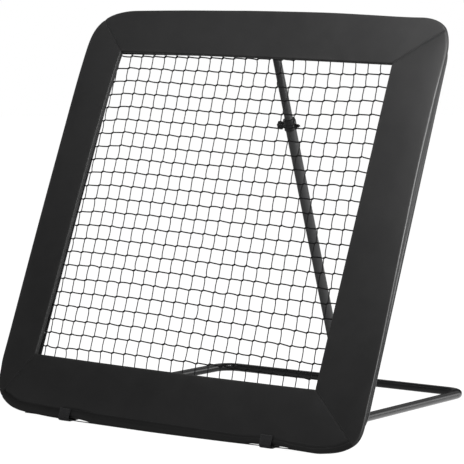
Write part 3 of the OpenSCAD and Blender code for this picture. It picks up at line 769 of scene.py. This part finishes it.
PAD_OBJS = {}
for side in ("bottom", "right", "top", "left"):
    v, f, pin, at, n = panel_mesh(side, 1.6, 2.2, 0.1)
    ob = make("pad_cover_" + side + "_vinyl", v[:, :3], f, M["vinyl"], None, "vinyl_cover")
    outward(ob)
    set_float(ob, "edge", v[:, 3])
    # the painted edge highlight and the painted crease shade go to the cover material as point attributes
    set_float(ob, "painted_rim_highlight", v[:, 5])
    set_float(ob, "painted_crease_shade", v[:, 6])
    keep_ends(ob, n)
    swell(ob, pin, 0.0032)
    sub = ob.modifiers.new("sub", "SUBSURF")
    sub.levels = sub.render_levels = 1
    apply_all(ob)
    ob.data.shade_smooth()
    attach(ob, "frame")
    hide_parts("pad_cover_" + side)
    PAD_OBJS[side] = ob
    # foam core
    v, f, pin, at, n = panel_mesh(side, 4.6, 1.0, 3.0)
    core = make("foam_core_" + side, v[:, :3], f, M["foam"], None, "foam_core")
    outward(core)
    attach(core, "frame")
    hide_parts("foam_" + side)


# ---------------------------------------------------------------- seams and stitches on the pad
def front_depth(points):
    """Depth of the covers' front at x, z places, by ray from the front."""
    out = []
    direction = to_world([[0, 1, 0]])[0] - to_world([[0, 0, 0]])[0]
    direction /= np.linalg.norm(direction)
    for x, z in points:
        start = to_world([[x, -60, z]])[0]
        best = None
        for ob in PAD_OBJS.values():
            hit, loc, normal, _ = ob.ray_cast(Vector(start), Vector(direction), distance=0.2)
            if hit:
                y = (Vector(loc) - Vector(start)).length * 1000 - 60
                best = y if best is None else min(best, y)
        out.append(np.nan if best is None else best)
    out = np.array(out)
    ok = np.isfinite(out)
    if ok.any():
        out[~ok] = np.interp(np.where(~ok)[0], np.where(ok)[0], out[ok])
    return out


def capsule_row(bag, p, q, r, lift):
    """One stitch from p to q (x, y, z), a flattened capsule."""
    p, q = np.asarray(p, float), np.asarray(q, float)
    path = np.array([p + (q - p) * t + np.array([0, -lift * math.sin(math.pi * t), 0]) for t in (0, 0.18, 0.5, 0.82, 1)])
    v, f, uv = tube(path, [r * 0.4, r, r, r, r * 0.4], 5)
    bag.add(v, f, uv)


seam_bag, stitch_bag = Bag(), Bag()
for key, i_side, k in (("bl", "bottom", 0), ("br", "bottom", -1), ("tr", "top", 0), ("tl", "top", -1)):
    a = INNER[i_side][k]
    b = PANELS[i_side][1][k]
    line = np.array([a + (b - a) * t for t in np.linspace(0.03, 0.97, 44)])
    y = front_depth(line)
    path = np.stack([line[:, 0], y + 0.25, line[:, 1]], 1)
    sv, sf, suv = tube(path, 0.7, 7)
    seam_bag.add(sv, sf, suv)
    d = (b - a) / np.linalg.norm(b - a)
    nrm = np.array([-d[1], d[0]])
    length = np.linalg.norm(b - a)
    for off in (-4.0, 4.0):
        at = np.arange(6, length - 6, 5.2)
        p0 = [a + d * s + nrm * off for s in at]
        p1 = [a + d * (s + 3.6) + nrm * off for s in at]
        d0, d1 = front_depth(p0), front_depth(p1)
        for q0, q1, e0, e1 in zip(p0, p1, d0, d1):
            capsule_row(stitch_bag, (q0[0], e0 + 0.1, q0[1]), (q1[0], e1 + 0.1, q1[1]), 0.42, 0.45)
# a row of stitches above the hem's crease
xs = np.arange(-540, 541, 5.6)
crease = np.array([hem_of(x, "bottom")[0] for x in xs])
base_v = np.array([np.interp(x, [q[0] for q in OUT_B], [q[1] for q in OUT_B]) for x in xs])
row = [(x, b + c + 6.5) for x, b, c in zip(xs, base_v, crease)]
d = front_depth(row)
for (x, z), y in zip(row, d):
    capsule_row(stitch_bag, (x, y + 0.15, z), (x + 3.8, y + 0.15, z), 0.42, 0.4)
# the bound lower edge of the bottom cover, which stays straight where the hem is drawn up
xs = np.linspace(-492, 492, 260)
zs = np.array([np.interp(x, [q[0] for q in OUT_B], [q[1] for q in OUT_B]) for x in xs]) + 1.7
sv, sf, suv = tube(np.stack([xs, np.full(len(xs), 9.4), zs], 1), 1.35, 8)
seam_bag.add(sv, sf, suv)
seams = seam_bag.make("pad_mitre_piping", M["vinyl"], "frame", "vinyl_cover")
set_float(seams, "edge", np.full(len(seams.data.vertices), 0.2))
stitch_bag.make("pad_stitching", M["thread"], "frame", "webbing")


# ---------------------------------------------------------------- straps
def strap_path(past):
    """Middle of the band in depth and height from the tube's centre."""
    front = -TUBE_Y
    back = front + PAD_T
    r = STRAP_R - 1.0
    down = math.degrees(LEAN) - 90
    corner = (back + 1, -past - 3.0)
    start = math.degrees(math.atan2(corner[1], corner[0])) + math.degrees(math.acos(r / math.hypot(*corner)))
    pts = [(front + 1.3, 26.5 - past), (front + 1.2, 18 - past), (front + 1.2, 9 - past), (front + 1.4, 2 - past), (front + 2.4, -3.2 - past), (front + 5.2, -6.2 - past), (front + 12, -6.9 - past), (front + 17, -5.2 - past), corner]
    for a in np.arange(start + 4, 92, 9):
        if abs(a - down) < 13:
            rr = (STRAP_R / math.cos(math.radians(6)) - 1.0) * math.cos(math.radians(6)) / max(math.cos(math.radians(a - down)), 0.97)
            rr = min(rr, r + 0.1)
        else:
            rr = r
        pts.append((rr * math.cos(math.radians(a)), rr * math.sin(math.radians(a))))
    return smooth_path(pts + strap_tail(back, r), 2.2)


def strap_tail(back, r):
    """From the tube back to the pad's back, where the band is sewn on."""
    pts = []
    for t in (0.35, 0.7):
        a = 92 + (160 - 92) * t
        pts.append((r * math.cos(math.radians(a)), r * math.sin(math.radians(a)) + 1.5 * t))
    return pts + [(back + 1.4, 22), (back + 1.4, 28), (back + 1.4, 35.5)]


def back_strap_path(past):
    """The same for a band that is sewn to the pad's back only."""
    back = PAD_T - TUBE_Y
    r = STRAP_R - 1.0
    pts = [(back + 1.4, -11), (back + 1.4, -15), (back + 1.4, -20), (back + 1.5, 3.2 - past), (back + 2.4, 3.0 - past)]
    start = math.degrees(math.atan2(2.8 - past, back + 1.4)) + math.degrees(math.acos(r / math.hypot(back + 1.4, 2.8 - past)))
    for a in np.arange(start + 2, 92, 9):
        pts.append((r * math.cos(math.radians(a)), r * math.sin(math.radians(a))))
    return smooth_path(pts + strap_tail(back, r), 1.6)


def band(bag, path, x0, width, thick, mirror_z=None, nx=12):
    """Woven band swept along a path in depth and height; x0 is its middle."""
    p = np.asarray(path, float)
    t = np.gradient(p, axis=0)
    t /= np.linalg.norm(t, axis=1)[:, None]
    nrm = np.stack([t[:, 1], -t[:, 0]], 1)
    along = np.concatenate([[0], np.cumsum(np.linalg.norm(np.diff(p, axis=0), axis=1))])
    ux = np.linspace(-1, 1, nx)
    ring = [(u * (width / 2 - 0.5), thick / 2 * (1 - 0.35 * abs(u) ** 8)) for u in ux]
    ring += [(width / 2, 0)]
    ring += [(u * (width / 2 - 0.5), -thick / 2 * (1 - 0.35 * abs(u) ** 8)) for u in ux[::-1]]
    ring += [(-width / 2, 0)]
    v, uv = [], []
    for i in range(len(p)):
        wave = 0.25 * math.sin(along[i] / 7.0 + x0)
        for rx, rn in ring:
            q = p[i] + nrm[i] * (rn + wave * (1 - (2 * rx / width) ** 2) * 0.5)
            z = q[1] if mirror_z is None else mirror_z - q[1]
            v.append((x0 + rx, TUBE_Y + q[0], z))
            uv.append((along[i], rx))
    n = len(ring)
    k = len(p)
    f = [(i * n + j, i * n + (j + 1) % n, (i + 1) * n + (j + 1) % n, (i + 1) * n + j) for i in range(k - 1) for j in range(n)]
    f.append(tuple(range(n))[::-1])
    f.append(tuple((k - 1) * n + j for j in range(n)))
    bag.add(v, f, uv)


def strap_stitches(bag, path, x0, z_of):
    """A sewn box on the strap's front tab."""
    p = path[:12]
    for rx in (-15.0, 15.0):
        for i in range(1, len(p) - 3, 2):
            a, b = p[i], p[i + 1]
            capsule_row(bag, (x0 + rx, TUBE_Y + a[0] - 1.15, z_of(a[1])), (x0 + rx, TUBE_Y + b[0] - 1.15, z_of(b[1])), 0.4, 0.3)
    for zz in (p[1], p[8]):
        for x in np.arange(-14, 13, 4.6):
            capsule_row(bag, (x0 + x, TUBE_Y + zz[0] - 1.15, z_of(zz[1])), (x0 + x + 3.2, TUBE_Y + zz[0] - 1.15, z_of(zz[1])), 0.4, 0.3)


low_path, high_path = strap_path(LOW_Z), back_strap_path(PAD_H - TOP_Z)
box_bag = Bag()
for name, x0 in (("left", -345.0), ("right", 345.0)):
    bag = Bag()
    p = low_path + np.array([0, LOW_Z])
    band(bag, p, x0, 38.0, 1.9)
    ob = bag.make("strap_bottom_" + name + "_webbing", M["strap"], "frame", "webbing", replaces=["strap_bottom_" + name])
    outward(ob)
    strap_stitches(box_bag, p, x0, lambda z: z)
bag = Bag()
for x0 in (-345.0, 345.0):
    p = high_path + np.array([0, 0])
    band(bag, p, x0, 38.0, 1.9, mirror_z=TOP_Z)
for x0 in (-345.0, 345.0):  # a sewn box where each band is sewn to the pad's back
    for base_z, up in ((LOW_Z, 1), (TOP_Z, -1)):
        y = PAD_T + 2.6
        for rx in (-15.0, 15.0):
            for z in np.arange(24, 33, 4.4):
                capsule_row(box_bag, (x0 + rx, y, base_z + up * z), (x0 + rx, y, base_z + up * (z + 3.2)), 0.4, -0.3)
        for z in (24, 34):
            for x in np.arange(-14, 13, 4.6):
                capsule_row(box_bag, (x0 + x, y, base_z + up * z), (x0 + x + 3.2, y, base_z + up * z), 0.4, -0.3)
ob = bag.make("straps_top_webbing", M["strap"], "frame", "webbing", replaces=["straps_top"])
outward(ob)
box_bag.make("strap_stitching", M["thread"], "frame", "webbing")


# ---------------------------------------------------------------- net
MESH, CELLS = 41.6, 24
grid = (np.arange(CELLS + 1) - CELLS / 2) * MESH
K = CELLS + 1
jit = rng.normal(0, 0.55, (K, K, 2))
edge_fade = np.minimum(np.minimum(np.arange(K), K - 1 - np.arange(K)), 3) / 3.0
knot = np.zeros((K, K, 2))


def drift(u, v):
    """How far the net has pulled out of square, in mm, for a place from -1 to 1 each way."""
    x = -0.3 + 1.1 * v + 3.5 * v ** 3 + 4.5 * u - 0.9 * u * v + 5.3 * u * v ** 2 - 0.5 * u ** 2 - 0.5 * u ** 2 * v - 6.5 * u ** 3
    z = 0.1 + 0.65 * v - 2.9 * v ** 2 - 2.6 * v ** 3 - 4.2 * u + 3.4 * u * v + 0.6 * u * v ** 2 + 3.2 * u ** 2 + 12.4 * u ** 2 * v + 2.6 * u ** 3
    return x, z


for i in range(K):
    for j in range(K):
        u, v = (i - 12) / 12, (j - 12) / 12
        dx, dz = drift(u, v)
        fade = min(1.0, (12 - abs(i - 12)) / 2, (12 - abs(j - 12)) / 2)
        knot[i, j] = (grid[i] + jit[i, j, 0] + dx * fade, grid[j] + jit[i, j, 1] + dz * fade)
net_bag = Bag()
STEP = 1.5  # a twine enters a knot on one side and leaves it on the other


def drawn(p):
    """Draws the places at the net's left edge a little outwards towards the bottom, as uneven springs do."""
    p = np.array(p, float)
    share = np.clip((950 - p[:, 2]) / 450, 0, 1)
    p[:, 0] -= 5.0 * share * np.clip((p[:, 0] + 514) / 4, 0, 1) * (p[:, 0] < -495)
    return p


def strand(points, depth, sides=7, r=1.45):
    p = np.array([(x, TUBE_Y + y, MID_Z + z) for (x, z), y in zip(points, depth)])
    v, f, uv = tube(p, r, sides)
    net_bag.add(v, f, uv)


for j in range(K):  # across
    pts, dep = [(-BORDER_IN - 8, grid[j])], [0.0]
    for i in range(K):
        x, z = knot[i, j]
        bow = rng.normal(0, 0.8)
        pts += [(x - 3.4, z - STEP), (x - 1.2, z - STEP * 0.7), (x + 1.2, z + STEP * 0.7), (x + 3.4, z + STEP)]
        dep += [0.7, -0.6, 0.6, -0.7]
        if i < K - 1:
            x2, z2 = knot[i + 1, j]
            for t in (0.3, 0.5, 0.7):
                pts.append((x + (x2 - x) * t, (z + STEP) * (1 - t) + (z2 - STEP) * t + bow * math.sin(math.pi * t)))
                dep.append(0.25 * math.sin(3 * t + i))
    pts.append((BORDER_IN + 4, grid[j]))
    dep.append(0.0)
    strand(pts, dep, r=1.95)
for i in range(K):  # up and down
    pts, dep = [(grid[i], -BORDER_IN - 4)], [0.0]
    for j in range(K):
        x, z = knot[i, j]
        bow = rng.normal(0, 0.8)
        pts += [(x - STEP, z - 3.4), (x - STEP * 0.7, z - 1.2), (x + STEP * 0.7, z + 1.2), (x + STEP, z + 3.4)]
        dep += [-0.7, 0.6, -0.6, 0.7]
        if j < K - 1:
            x2, z2 = knot[i, j + 1]
            for t in (0.3, 0.5, 0.7):
                pts.append(((x + STEP) * (1 - t) + (x2 - STEP) * t + bow * math.sin(math.pi * t), z + (z2 - z) * t))
                dep.append(0.25 * math.cos(3 * t + j))
    pts.append((grid[i], BORDER_IN + 4))
    dep.append(0.0)
    strand(pts, dep)
# knots: a small closed hitch, longer along the diagonal
tt = np.linspace(0, 2 * math.pi, 26, endpoint=False)
hitch = np.stack([np.sin(tt) + 2 * np.sin(2 * tt), -np.sin(3 * tt) * 1.3, np.cos(tt) - 2 * np.cos(2 * tt)], 1)
hitch *= np.array([3.5, 1.7, 1.9]) / 3.0
c45, s45 = math.cos(math.radians(42)), math.sin(math.radians(42))
hitch = hitch @ np.array([[c45, 0, s45], [0, 1, 0], [-s45, 0, c45]])
hv, hf, huv = tube(hitch, 1.35, 6, closed=True)
core = np.linspace(-1, 1, 7)[:, None] * np.array([[4.1 * c45, 0, 4.1 * s45]])
cv, cf, cuv = tube(core, [0.8, 2.0, 2.6, 2.8, 2.6, 2.0, 0.8], 8)
for i in range(K):
    for j in range(K):
        turn = rng.normal(0, 0.16)
        c, s = math.cos(turn), math.sin(turn)
        q = hv @ np.array([[c, 0, s], [0, 1, 0], [-s, 0, c]]) * rng.uniform(0.92, 1.08)
        place = np.array([knot[i, j][0], TUBE_Y, MID_Z + knot[i, j][1]])
        net_bag.add(q + place, hf, huv)
        net_bag.add(cv + place, cf, cuv)
# loops that lash the net to the webbing
for a in range(4):
    for g in grid:
        loop = [(g + 1.8 * math.sin(t), 4.3 * math.cos(t), BORDER_IN + 1.5 + 4.6 * math.sin(t)) for t in np.linspace(0, 2 * math.pi, 16, endpoint=False)]
        c, s = round(math.cos(a * math.pi / 2)), round(math.sin(a * math.pi / 2))
        loop = np.array([(c * x + s * z, TUBE_Y + y, MID_Z - s * x + c * z) for x, y, z in loop])
        v, f, uv = tube(drawn(loop), 1.0, 6, closed=True)
        net_bag.add(v, f, uv)
net_ob = net_bag.make("knotted_net", M["twine"], "frame", "net_cord", replaces=["net"])


# ---------------------------------------------------------------- webbing border
def turned(p, a):
    """Turns x, y, z points by a quarter turns about the net's middle."""
    p = np.asarray(p, float).reshape(-1, 3)
    c, s = round(math.cos(a * math.pi / 2)), round(math.sin(a * math.pi / 2))
    return np.stack([c * p[:, 0] + s * p[:, 2], p[:, 1] + TUBE_Y, MID_Z - s * p[:, 0] + c * p[:, 2]], 1)


def border_face(bag, y_side, flip):
    """One face of the webbing, with a round hole at each eyelet."""
    half_w = (BORDER_OUT - BORDER_IN) / 2
    for a in range(4):
        done = -BORDER_OUT
        for p in SPRING_AT + [None]:
            stop = BORDER_OUT if p is None else p - half_w
            k = max(1, int((stop - done) / 7))
            if p is None or stop > done:
                us = np.linspace(done, stop, k + 1)
                ws = np.linspace(-half_w, half_w, 7)
                pts, uv = [], []
                for u in us:
                    for w in ws:
                        lim = EYE_X + w
                        uu = max(-lim, min(lim, u))
                        pts.append((uu, y_side, EYE_X + w))
                        uv.append((uu, w))
                f = [(i * 7 + j, i * 7 + j + 1, (i + 1) * 7 + j + 1, (i + 1) * 7 + j) for i in range(k) for j in range(6)]
                bag.add(drawn(turned(pts, a)), [q[::-1] if flip else q for q in f], uv)
            if p is None:
                break
            n = 24
            rings = []
            sq = []
            for q in range(n):
                ang = 2 * math.pi * q / n + math.pi / 4
                cx, cz = math.cos(ang), math.sin(ang)
                m_ = half_w / max(abs(cx), abs(cz))
                sq.append((p + cx * m_, EYE_X + cz * m_))
            circ = [(p + 4.05 * math.cos(2 * math.pi * q / n + math.pi / 4), EYE_X + 4.05 * math.sin(2 * math.pi * q / n + math.pi / 4)) for q in range(n)]
            for t in (0, 0.4, 1):
                rings.append([(c[0] * (1 - t) + s_[0] * t, c[1] * (1 - t) + s_[1] * t) for c, s_ in zip(circ, sq)])
            pts = [(x, y_side, z) for ring in rings for x, z in ring]
            uv = [(x, z - EYE_X) for ring in rings for x, z in ring]
            f = [(i * n + j, i * n + (j + 1) % n, (i + 1) * n + (j + 1) % n, (i + 1) * n + j) for i in range(2) for j in range(n)]
            bag.add(drawn(turned(pts, a)), [q if flip else q[::-1] for q in f], uv)
            done = p + half_w


bag = Bag()
border_face(bag, 0.0, False)
border = bag.make("net_border_webbing", M["webbing"], None, "webbing", replaces=["net_border"])
bm = bmesh.new()
bm.from_mesh(border.data)
bmesh.ops.remove_doubles(bm, verts=bm.verts, dist=2e-5)
bmesh.ops.recalc_face_normals(bm, faces=bm.faces)
for vert in bm.verts:  # the band is never quite flat
    x, y, z = vert.co
    vert.co += Vector((0, CL, -SL)) * 0.00035 * math.sin(x * 41 + z * 23)
bm.to_mesh(border.data)
bm.free()
solid = border.modifiers.new("thick", "SOLIDIFY")
solid.thickness, solid.offset = 0.0038, 0.0
apply_all(border)
border.data.shade_smooth()
border.data.set_sharp_from_angle(angle=math.radians(50))
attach(border, "frame")

stitch = Bag()
for a in range(4):
    for w in (BORDER_IN + 3.0, BORDER_OUT - 3.0):
        for u in np.arange(-w + 5, w - 5, 5.5):
            if min(abs(u + 1.8 - p) for p in SPRING_AT) < 8 and abs(w - EYE_X) < 8:
                continue
            for y_side, sgn in ((-2.0, -1), (2.0, 1)):
                pts = drawn(turned([(u, y_side, w), (u + 3.6, y_side, w)], a))
                p, q = pts
                path = np.array([p + (q - p) * t + np.array([0, sgn * 0.35 * math.sin(math.pi * t), 0]) for t in (0, 0.5, 1)])
                v, f, uv = tube(path, [0.25, 0.5, 0.25], 4)
                stitch.add(v, f, uv)
stitch.make("border_stitching", M["thread"], "frame", "webbing")


# ---------------------------------------------------------------- springs
def spring_path():
    """Wire of one spring along +x at z = 0: hook, coil, hook."""
    r = 6.0 - WIRE / 2
    turns = 14
    length = COIL_OUT - COIL_IN - WIRE
    pts = [(EYE_X - 0.4, HOOK_Y - 11.0, 0), (EYE_X, HOOK_Y - 7.5, 0), (EYE_X, HOOK_Y - 3.5, 0), (EYE_X + 0.5, HOOK_Y - 1.2, 0), (EYE_X + 2.2, HOOK_Y, 0), (EYE_X + 9, HOOK_Y, 0), (COIL_IN - 5, HOOK_Y, 0), (COIL_IN - 1.0, HOOK_Y - 0.05, 0)]
    for i in range(turns * 14 + 1):
        a = 2 * math.pi * i / 14
        pts.append((COIL_IN + WIRE / 2 + length * i / (turns * 14), r * math.cos(a), r * math.sin(a)))
    pts += [(COIL_OUT + 1.0, HOOK_Y - 0.05, 0), (COIL_OUT + 5, HOOK_Y, 0), (HOOK_OUT - 4, HOOK_Y, 0), (HOOK_OUT - 1.2, HOOK_Y - 0.5, 0), (HOOK_OUT, HOOK_Y - 2.2, 0), (HOOK_OUT, HOOK_Y - 7.5, 0)]
    return np.array(pts, float)


sp = spring_path()
sp[8:-6, 1] *= 1.0
sv, sf, suv = tube(sp, WIRE / 2, 7)
spring_bag = Bag()
for a in range(4):
    for p in SPRING_AT:
        # +x runs outward: x along the spring becomes height, z becomes the place along the side
        q = np.stack([sv[:, 2] + p, sv[:, 1], sv[:, 0]], 1)
        spring_bag.add(turned(q, a), sf, suv)
springs = spring_bag.make("tension_springs", M["zinc"], "frame", "zinc_hardware", replaces=["springs"])
outward(springs)


# ---------------------------------------------------------------- strut and clamp
def box_mid(name):
    lo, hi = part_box(name)
    return (lo + hi) / 2


h_y, h_z = TUBE_Y + 9.35, LOW_Z + 33.15
HY, HZ = OY + h_y * CL + h_z * SL, FZ - h_y * SL + h_z * CL
BASE_R = 12.5
DROP = math.asin((HZ - BASE_R) / 891.5)
BAR_Y, BAR_Z = HY + 891.5 * math.cos(DROP), BASE_R
t_y, t_z = TUBE_Y + 37.6, TOP_Z - 10.5
PY, PZ = OY + t_y * CL + t_z * SL, FZ - t_y * SL + t_z * CL
DIST = math.hypot(PY - BAR_Y, PZ - BAR_Z)
SLEAN = math.atan2(BAR_Y - PY, PZ - BAR_Z)
FOOT_Y, FOOT_Z = BAR_Y - 34 * math.sin(SLEAN), BAR_Z + 34 * math.cos(SLEAN)
STRUT_LEN = DIST - 34
LOWER_TOP = STRUT_LEN - 284
CLAMP_Z = LOWER_TOP - 7


def strut_world(p):
    p = np.asarray(p, float).reshape(-1, 3)
    x, y, z = p.T
    c, s = math.cos(SLEAN), math.sin(SLEAN)
    return np.stack([x, FOOT_Y + y * c - z * s, FOOT_Z + y * s + z * c], 1) * 1e-3


def lathe_x(profile, sides, star=None):
    """Closed form turned about x: profile is x, radius; star changes the radius by angle."""
    v = []
    for x, r in profile:
        for j in range(sides):
            a = 2 * math.pi * j / sides
            rr = r * (star(a, x, r) if star else 1)
            v.append((x, rr * math.sin(a), rr * math.cos(a)))
    n, k = sides, len(profile)
    f = [(i * n + j, i * n + (j + 1) % n, (i + 1) * n + (j + 1) % n, (i + 1) * n + j) for i in range(k - 1) for j in range(n)]
    f.append(tuple(range(n))[::-1])
    f.append(tuple((k - 1) * n + j for j in range(n)))
    return v, f


def star(a, x, r):
    if r < 9.5:
        return 1.0
    lobe = 0.5 + 0.5 * math.cos(6 * a)
    return 0.74 + 0.26 * lobe ** 0.55


prof = [(-22.9, 3.0), (-22.9, 8.3), (-24.0, 8.6), (-26.3, 8.6), (-27.3, 9.6), (-28.0, 11.4), (-29.2, 13.0), (-30.6, 13.6), (-34.0, 13.7), (-37.4, 13.5), (-39.2, 12.8), (-40.3, 11.4), (-40.8, 9.7), (-40.9, 7.4), (-40.4, 6.9), (-40.2, 3.5)]
kv, kf = lathe_x(prof, 96, star)
kv = np.array(kv) + np.array([0, 0, CLAMP_Z])
knob = make("star_knob", strut_world(kv), kf, M["plastic"], "knob", "black_plastic", world=True, replaces=["clamp_knob"])
outward(knob)
knob.data.set_sharp_from_angle(angle=math.radians(38))

# ---------------------------------------------------------------- finishes of the CAD nodes
FINISH = {
    "tube": ["base_left", "base_right", "hinge_tongues", "foot_fork", "frame_upper_bow", "frame_lower_bow", "hinge_fork_left", "hinge_fork_right", "top_fork"],
    "strut": ["strut_lower_tube", "strut_foot_tongue", "strut_upper_tube", "strut_top_tongue"],
    "zinc": ["base_joint_sleeve", "base_joint_screws", "foot_bolt", "foot_nut", "frame_joint_sleeves", "frame_joint_screws", "hinge_bolts", "hinge_washers", "hinge_nuts", "top_bolt", "top_nut", "border_eyelets", "knob_stud"],
    "black_zinc": ["collar_bolt", "collar_rivets"],
    "plastic": ["guide_bush", "clamp_collar", "inner_bush"],
    "brass": ["collar_insert"],
}
for key, names in FINISH.items():
    for n in names:
        me = nodes[n].data
        me.materials.clear()
        me.materials.append(M[key])


# ---------------------------------------------------------------- floor, light
GLOW = 0.29
SKY = {"left_low": 0.0, "left_high": 0.4, "right_low": 1.96, "right_high": 0.0, "top": 0.0, "front_high": 0.0, "front_low": 0.42}
POWER = {"side_low": 9.0, "near_top": 19.3, "upper_left": 2.0, "right": 17.3, "over": 5.7, "left_back": 1.3, "right_back": 0}

floor_mat = Graph("pale_floor")
lp = floor_mat.node("LightPath")
em = floor_mat.node("Emission", Strength=1.06)
em.inputs["Color"].default_value = (1, 1, 1, 1)
dim = floor_mat.node("BsdfDiffuse")
dim.inputs["Color"].default_value = (0.25, 0.25, 0.25, 1)
lit = floor_mat.node("AddShader")
floor_mat.link(em.outputs[0], lit.inputs[0])
floor_mat.link(dim.outputs[0], lit.inputs[1])
gl = floor_mat.node("BsdfGlossy", Roughness=0.06)
gl.inputs["Color"].default_value = (1, 1, 1, 1)
seen = floor_mat.node("MixShader")
seen.inputs[0].default_value = 0.07
floor_mat.link(lit.outputs[0], seen.inputs[1])
floor_mat.link(gl.outputs[0], seen.inputs[2])
glow = floor_mat.node("Emission")
glow.inputs["Color"].default_value = (1, 1, 1, 1)
# painted reflection: a strip of floor beside the right rail glows brighter for glossy rays only, so the shiny rail's
# underside mirrors a lighter band than the floor behind the pad gives
spot = floor_mat.node("SeparateXYZ")
floor_mat.link(floor_mat.node("NewGeometry").outputs["Position"], spot.inputs[0])
beside = floor_mat.node("MapRange", interpolation_type="SMOOTHSTEP")
floor_mat.link(spot.outputs[0], beside.inputs["Value"])
beside.inputs["From Min"].default_value, beside.inputs["From Max"].default_value = 0.40, 0.445
behind = floor_mat.node("MapRange", interpolation_type="SMOOTHSTEP")
floor_mat.link(spot.outputs[1], behind.inputs["Value"])
behind.inputs["From Min"].default_value, behind.inputs["From Max"].default_value = -0.5, -0.3
beyond = floor_mat.node("MapRange", interpolation_type="SMOOTHSTEP")
floor_mat.link(spot.outputs[0], beyond.inputs["Value"])
beyond.inputs["From Min"].default_value, beyond.inputs["From Max"].default_value = 0.60, 0.54
glow_strip = floor_mat.math("MULTIPLY", floor_mat.math("MULTIPLY", beside.outputs[0], beyond.outputs[0]), behind.outputs[0])
painted_reflection_glow = floor_mat.math("MULTIPLY", floor_mat.math("MULTIPLY", glow_strip, lp.outputs["Is Glossy Ray"]), 0.9)
floor_mat.link(floor_mat.math("ADD", painted_reflection_glow, GLOW), glow.inputs["Strength"])
both = floor_mat.node("MixShader")
floor_mat.link(lp.outputs["Is Camera Ray"], both.inputs[0])
floor_mat.link(glow.outputs[0], both.inputs[1])
floor_mat.link(seen.outputs[0], both.inputs[2])
floor_mat.link(both.outputs[0], floor_mat.out.inputs[0])
me = bpy.data.meshes.new("floor")
n = 32
pts = [(14 * math.cos(2 * math.pi * i / n), 14 * math.sin(2 * math.pi * i / n), 0) for i in range(n)]
me.from_pydata(pts, [], [list(range(n))])
floor = bpy.data.objects.new("floor", me)
me.materials.append(floor_mat.mat)
scene.collection.objects.link(floor)

world = bpy.data.worlds.new("studio")
scene.world = world
world.use_nodes = True
nt = world.node_tree
nt.nodes.clear()


def wnode(kind, **values):
    n = nt.nodes.new("ShaderNode" + kind)
    for k, v in values.items():
        setattr(n, k, v)
    return n


def wmath(op, a, b):
    n = wnode("Math", operation=op)
    for sock, v in zip(n.inputs, (a, b)):
        if isinstance(v, (int, float)):
            sock.default_value = v
        else:
            nt.links.new(v, sock)
    return n.outputs[0]


def wstep(v, lo, hi):
    n = wnode("MapRange", interpolation_type="SMOOTHSTEP")
    nt.links.new(v, n.inputs["Value"])
    n.inputs["From Min"].default_value, n.inputs["From Max"].default_value = lo, hi
    return n.outputs[0]


wo = wnode("OutputWorld")
direction = wnode("TexCoord")
axes = wnode("SeparateXYZ")
nt.links.new(direction.outputs["Generated"], axes.inputs[0])
w_back = wstep(axes.outputs[1], -0.05, 0.35)
w_front = wmath("SUBTRACT", 1.0, w_back)
w_left = wmath("MULTIPLY", w_back, wstep(axes.outputs[0], 0.45, 0.1))
w_right = wmath("SUBTRACT", w_back, w_left)
w_up, w_top = wstep(axes.outputs[2], 0.22, 0.5), wstep(axes.outputs[2], 0.78, 0.93)
w_low, w_high = wmath("SUBTRACT", 1.0, w_up), wmath("SUBTRACT", w_up, w_top)
total = wmath("MULTIPLY", w_top, SKY["top"])
for side, turn in (("left", w_left), ("right", w_right), ("front", w_front)):
    for level, height in (("low", w_low), ("high", w_high)):
        part = wmath("MULTIPLY", wmath("MULTIPLY", turn, height), SKY[side + "_" + level])
        total = wmath("ADD", total, part)
b1, b2 = wnode("Background"), wnode("Background")
b1.inputs[0].default_value = (1, 1, 1, 1)
nt.links.new(total, b1.inputs[1])
b2.inputs[0].default_value, b2.inputs[1].default_value = (1, 1, 1, 1), 1.0
wl = wnode("LightPath")
wm = wnode("MixShader")
nt.links.new(wl.outputs["Is Camera Ray"], wm.inputs[0])
nt.links.new(b1.outputs[0], wm.inputs[1])
nt.links.new(b2.outputs[0], wm.inputs[2])
nt.links.new(wm.outputs[0], wo.inputs[0])


def softbox(name, at, target, size):
    if POWER[name] <= 0:
        return
    data = bpy.data.lights.new(name, "AREA")
    data.shape = "RECTANGLE"
    data.size, data.size_y = size
    data.energy = POWER[name]
    ob = bpy.data.objects.new(name, data)
    ob.location = at
    ob.rotation_euler = (Vector(target) - Vector(at)).to_track_quat("-Z", "Y").to_euler()
    ob.visible_camera = False
    scene.collection.objects.link(ob)


softbox("near_top", (0.8, -0.9, 2.0), (0.45, 0.0, 1.1), (0.6, 0.6))
softbox("upper_left", (-1.3, -1.0, 2.1), (-0.5, 0.0, 1.0), (0.8, 0.8))
softbox("right", (2.8, -0.5, 1.5), (0.4, -0.1, 0.7), (1.0, 1.6))
softbox("over", (0.3, -0.6, 2.6), (0.1, 0.0, 0.8), (1.6, 0.8))
softbox("side_low", (2.4, 0.35, 0.4), (0.5, 0.1, 0.35), (1.2, 0.5))
softbox("left_back", (-2.6, 0.6, 1.6), (-0.3, 0.0, 0.6), (1.2, 1.6))
softbox("right_back", (2.6, 2.2, 1.8), (0.3, 0.1, 0.5), (1.4, 1.6))
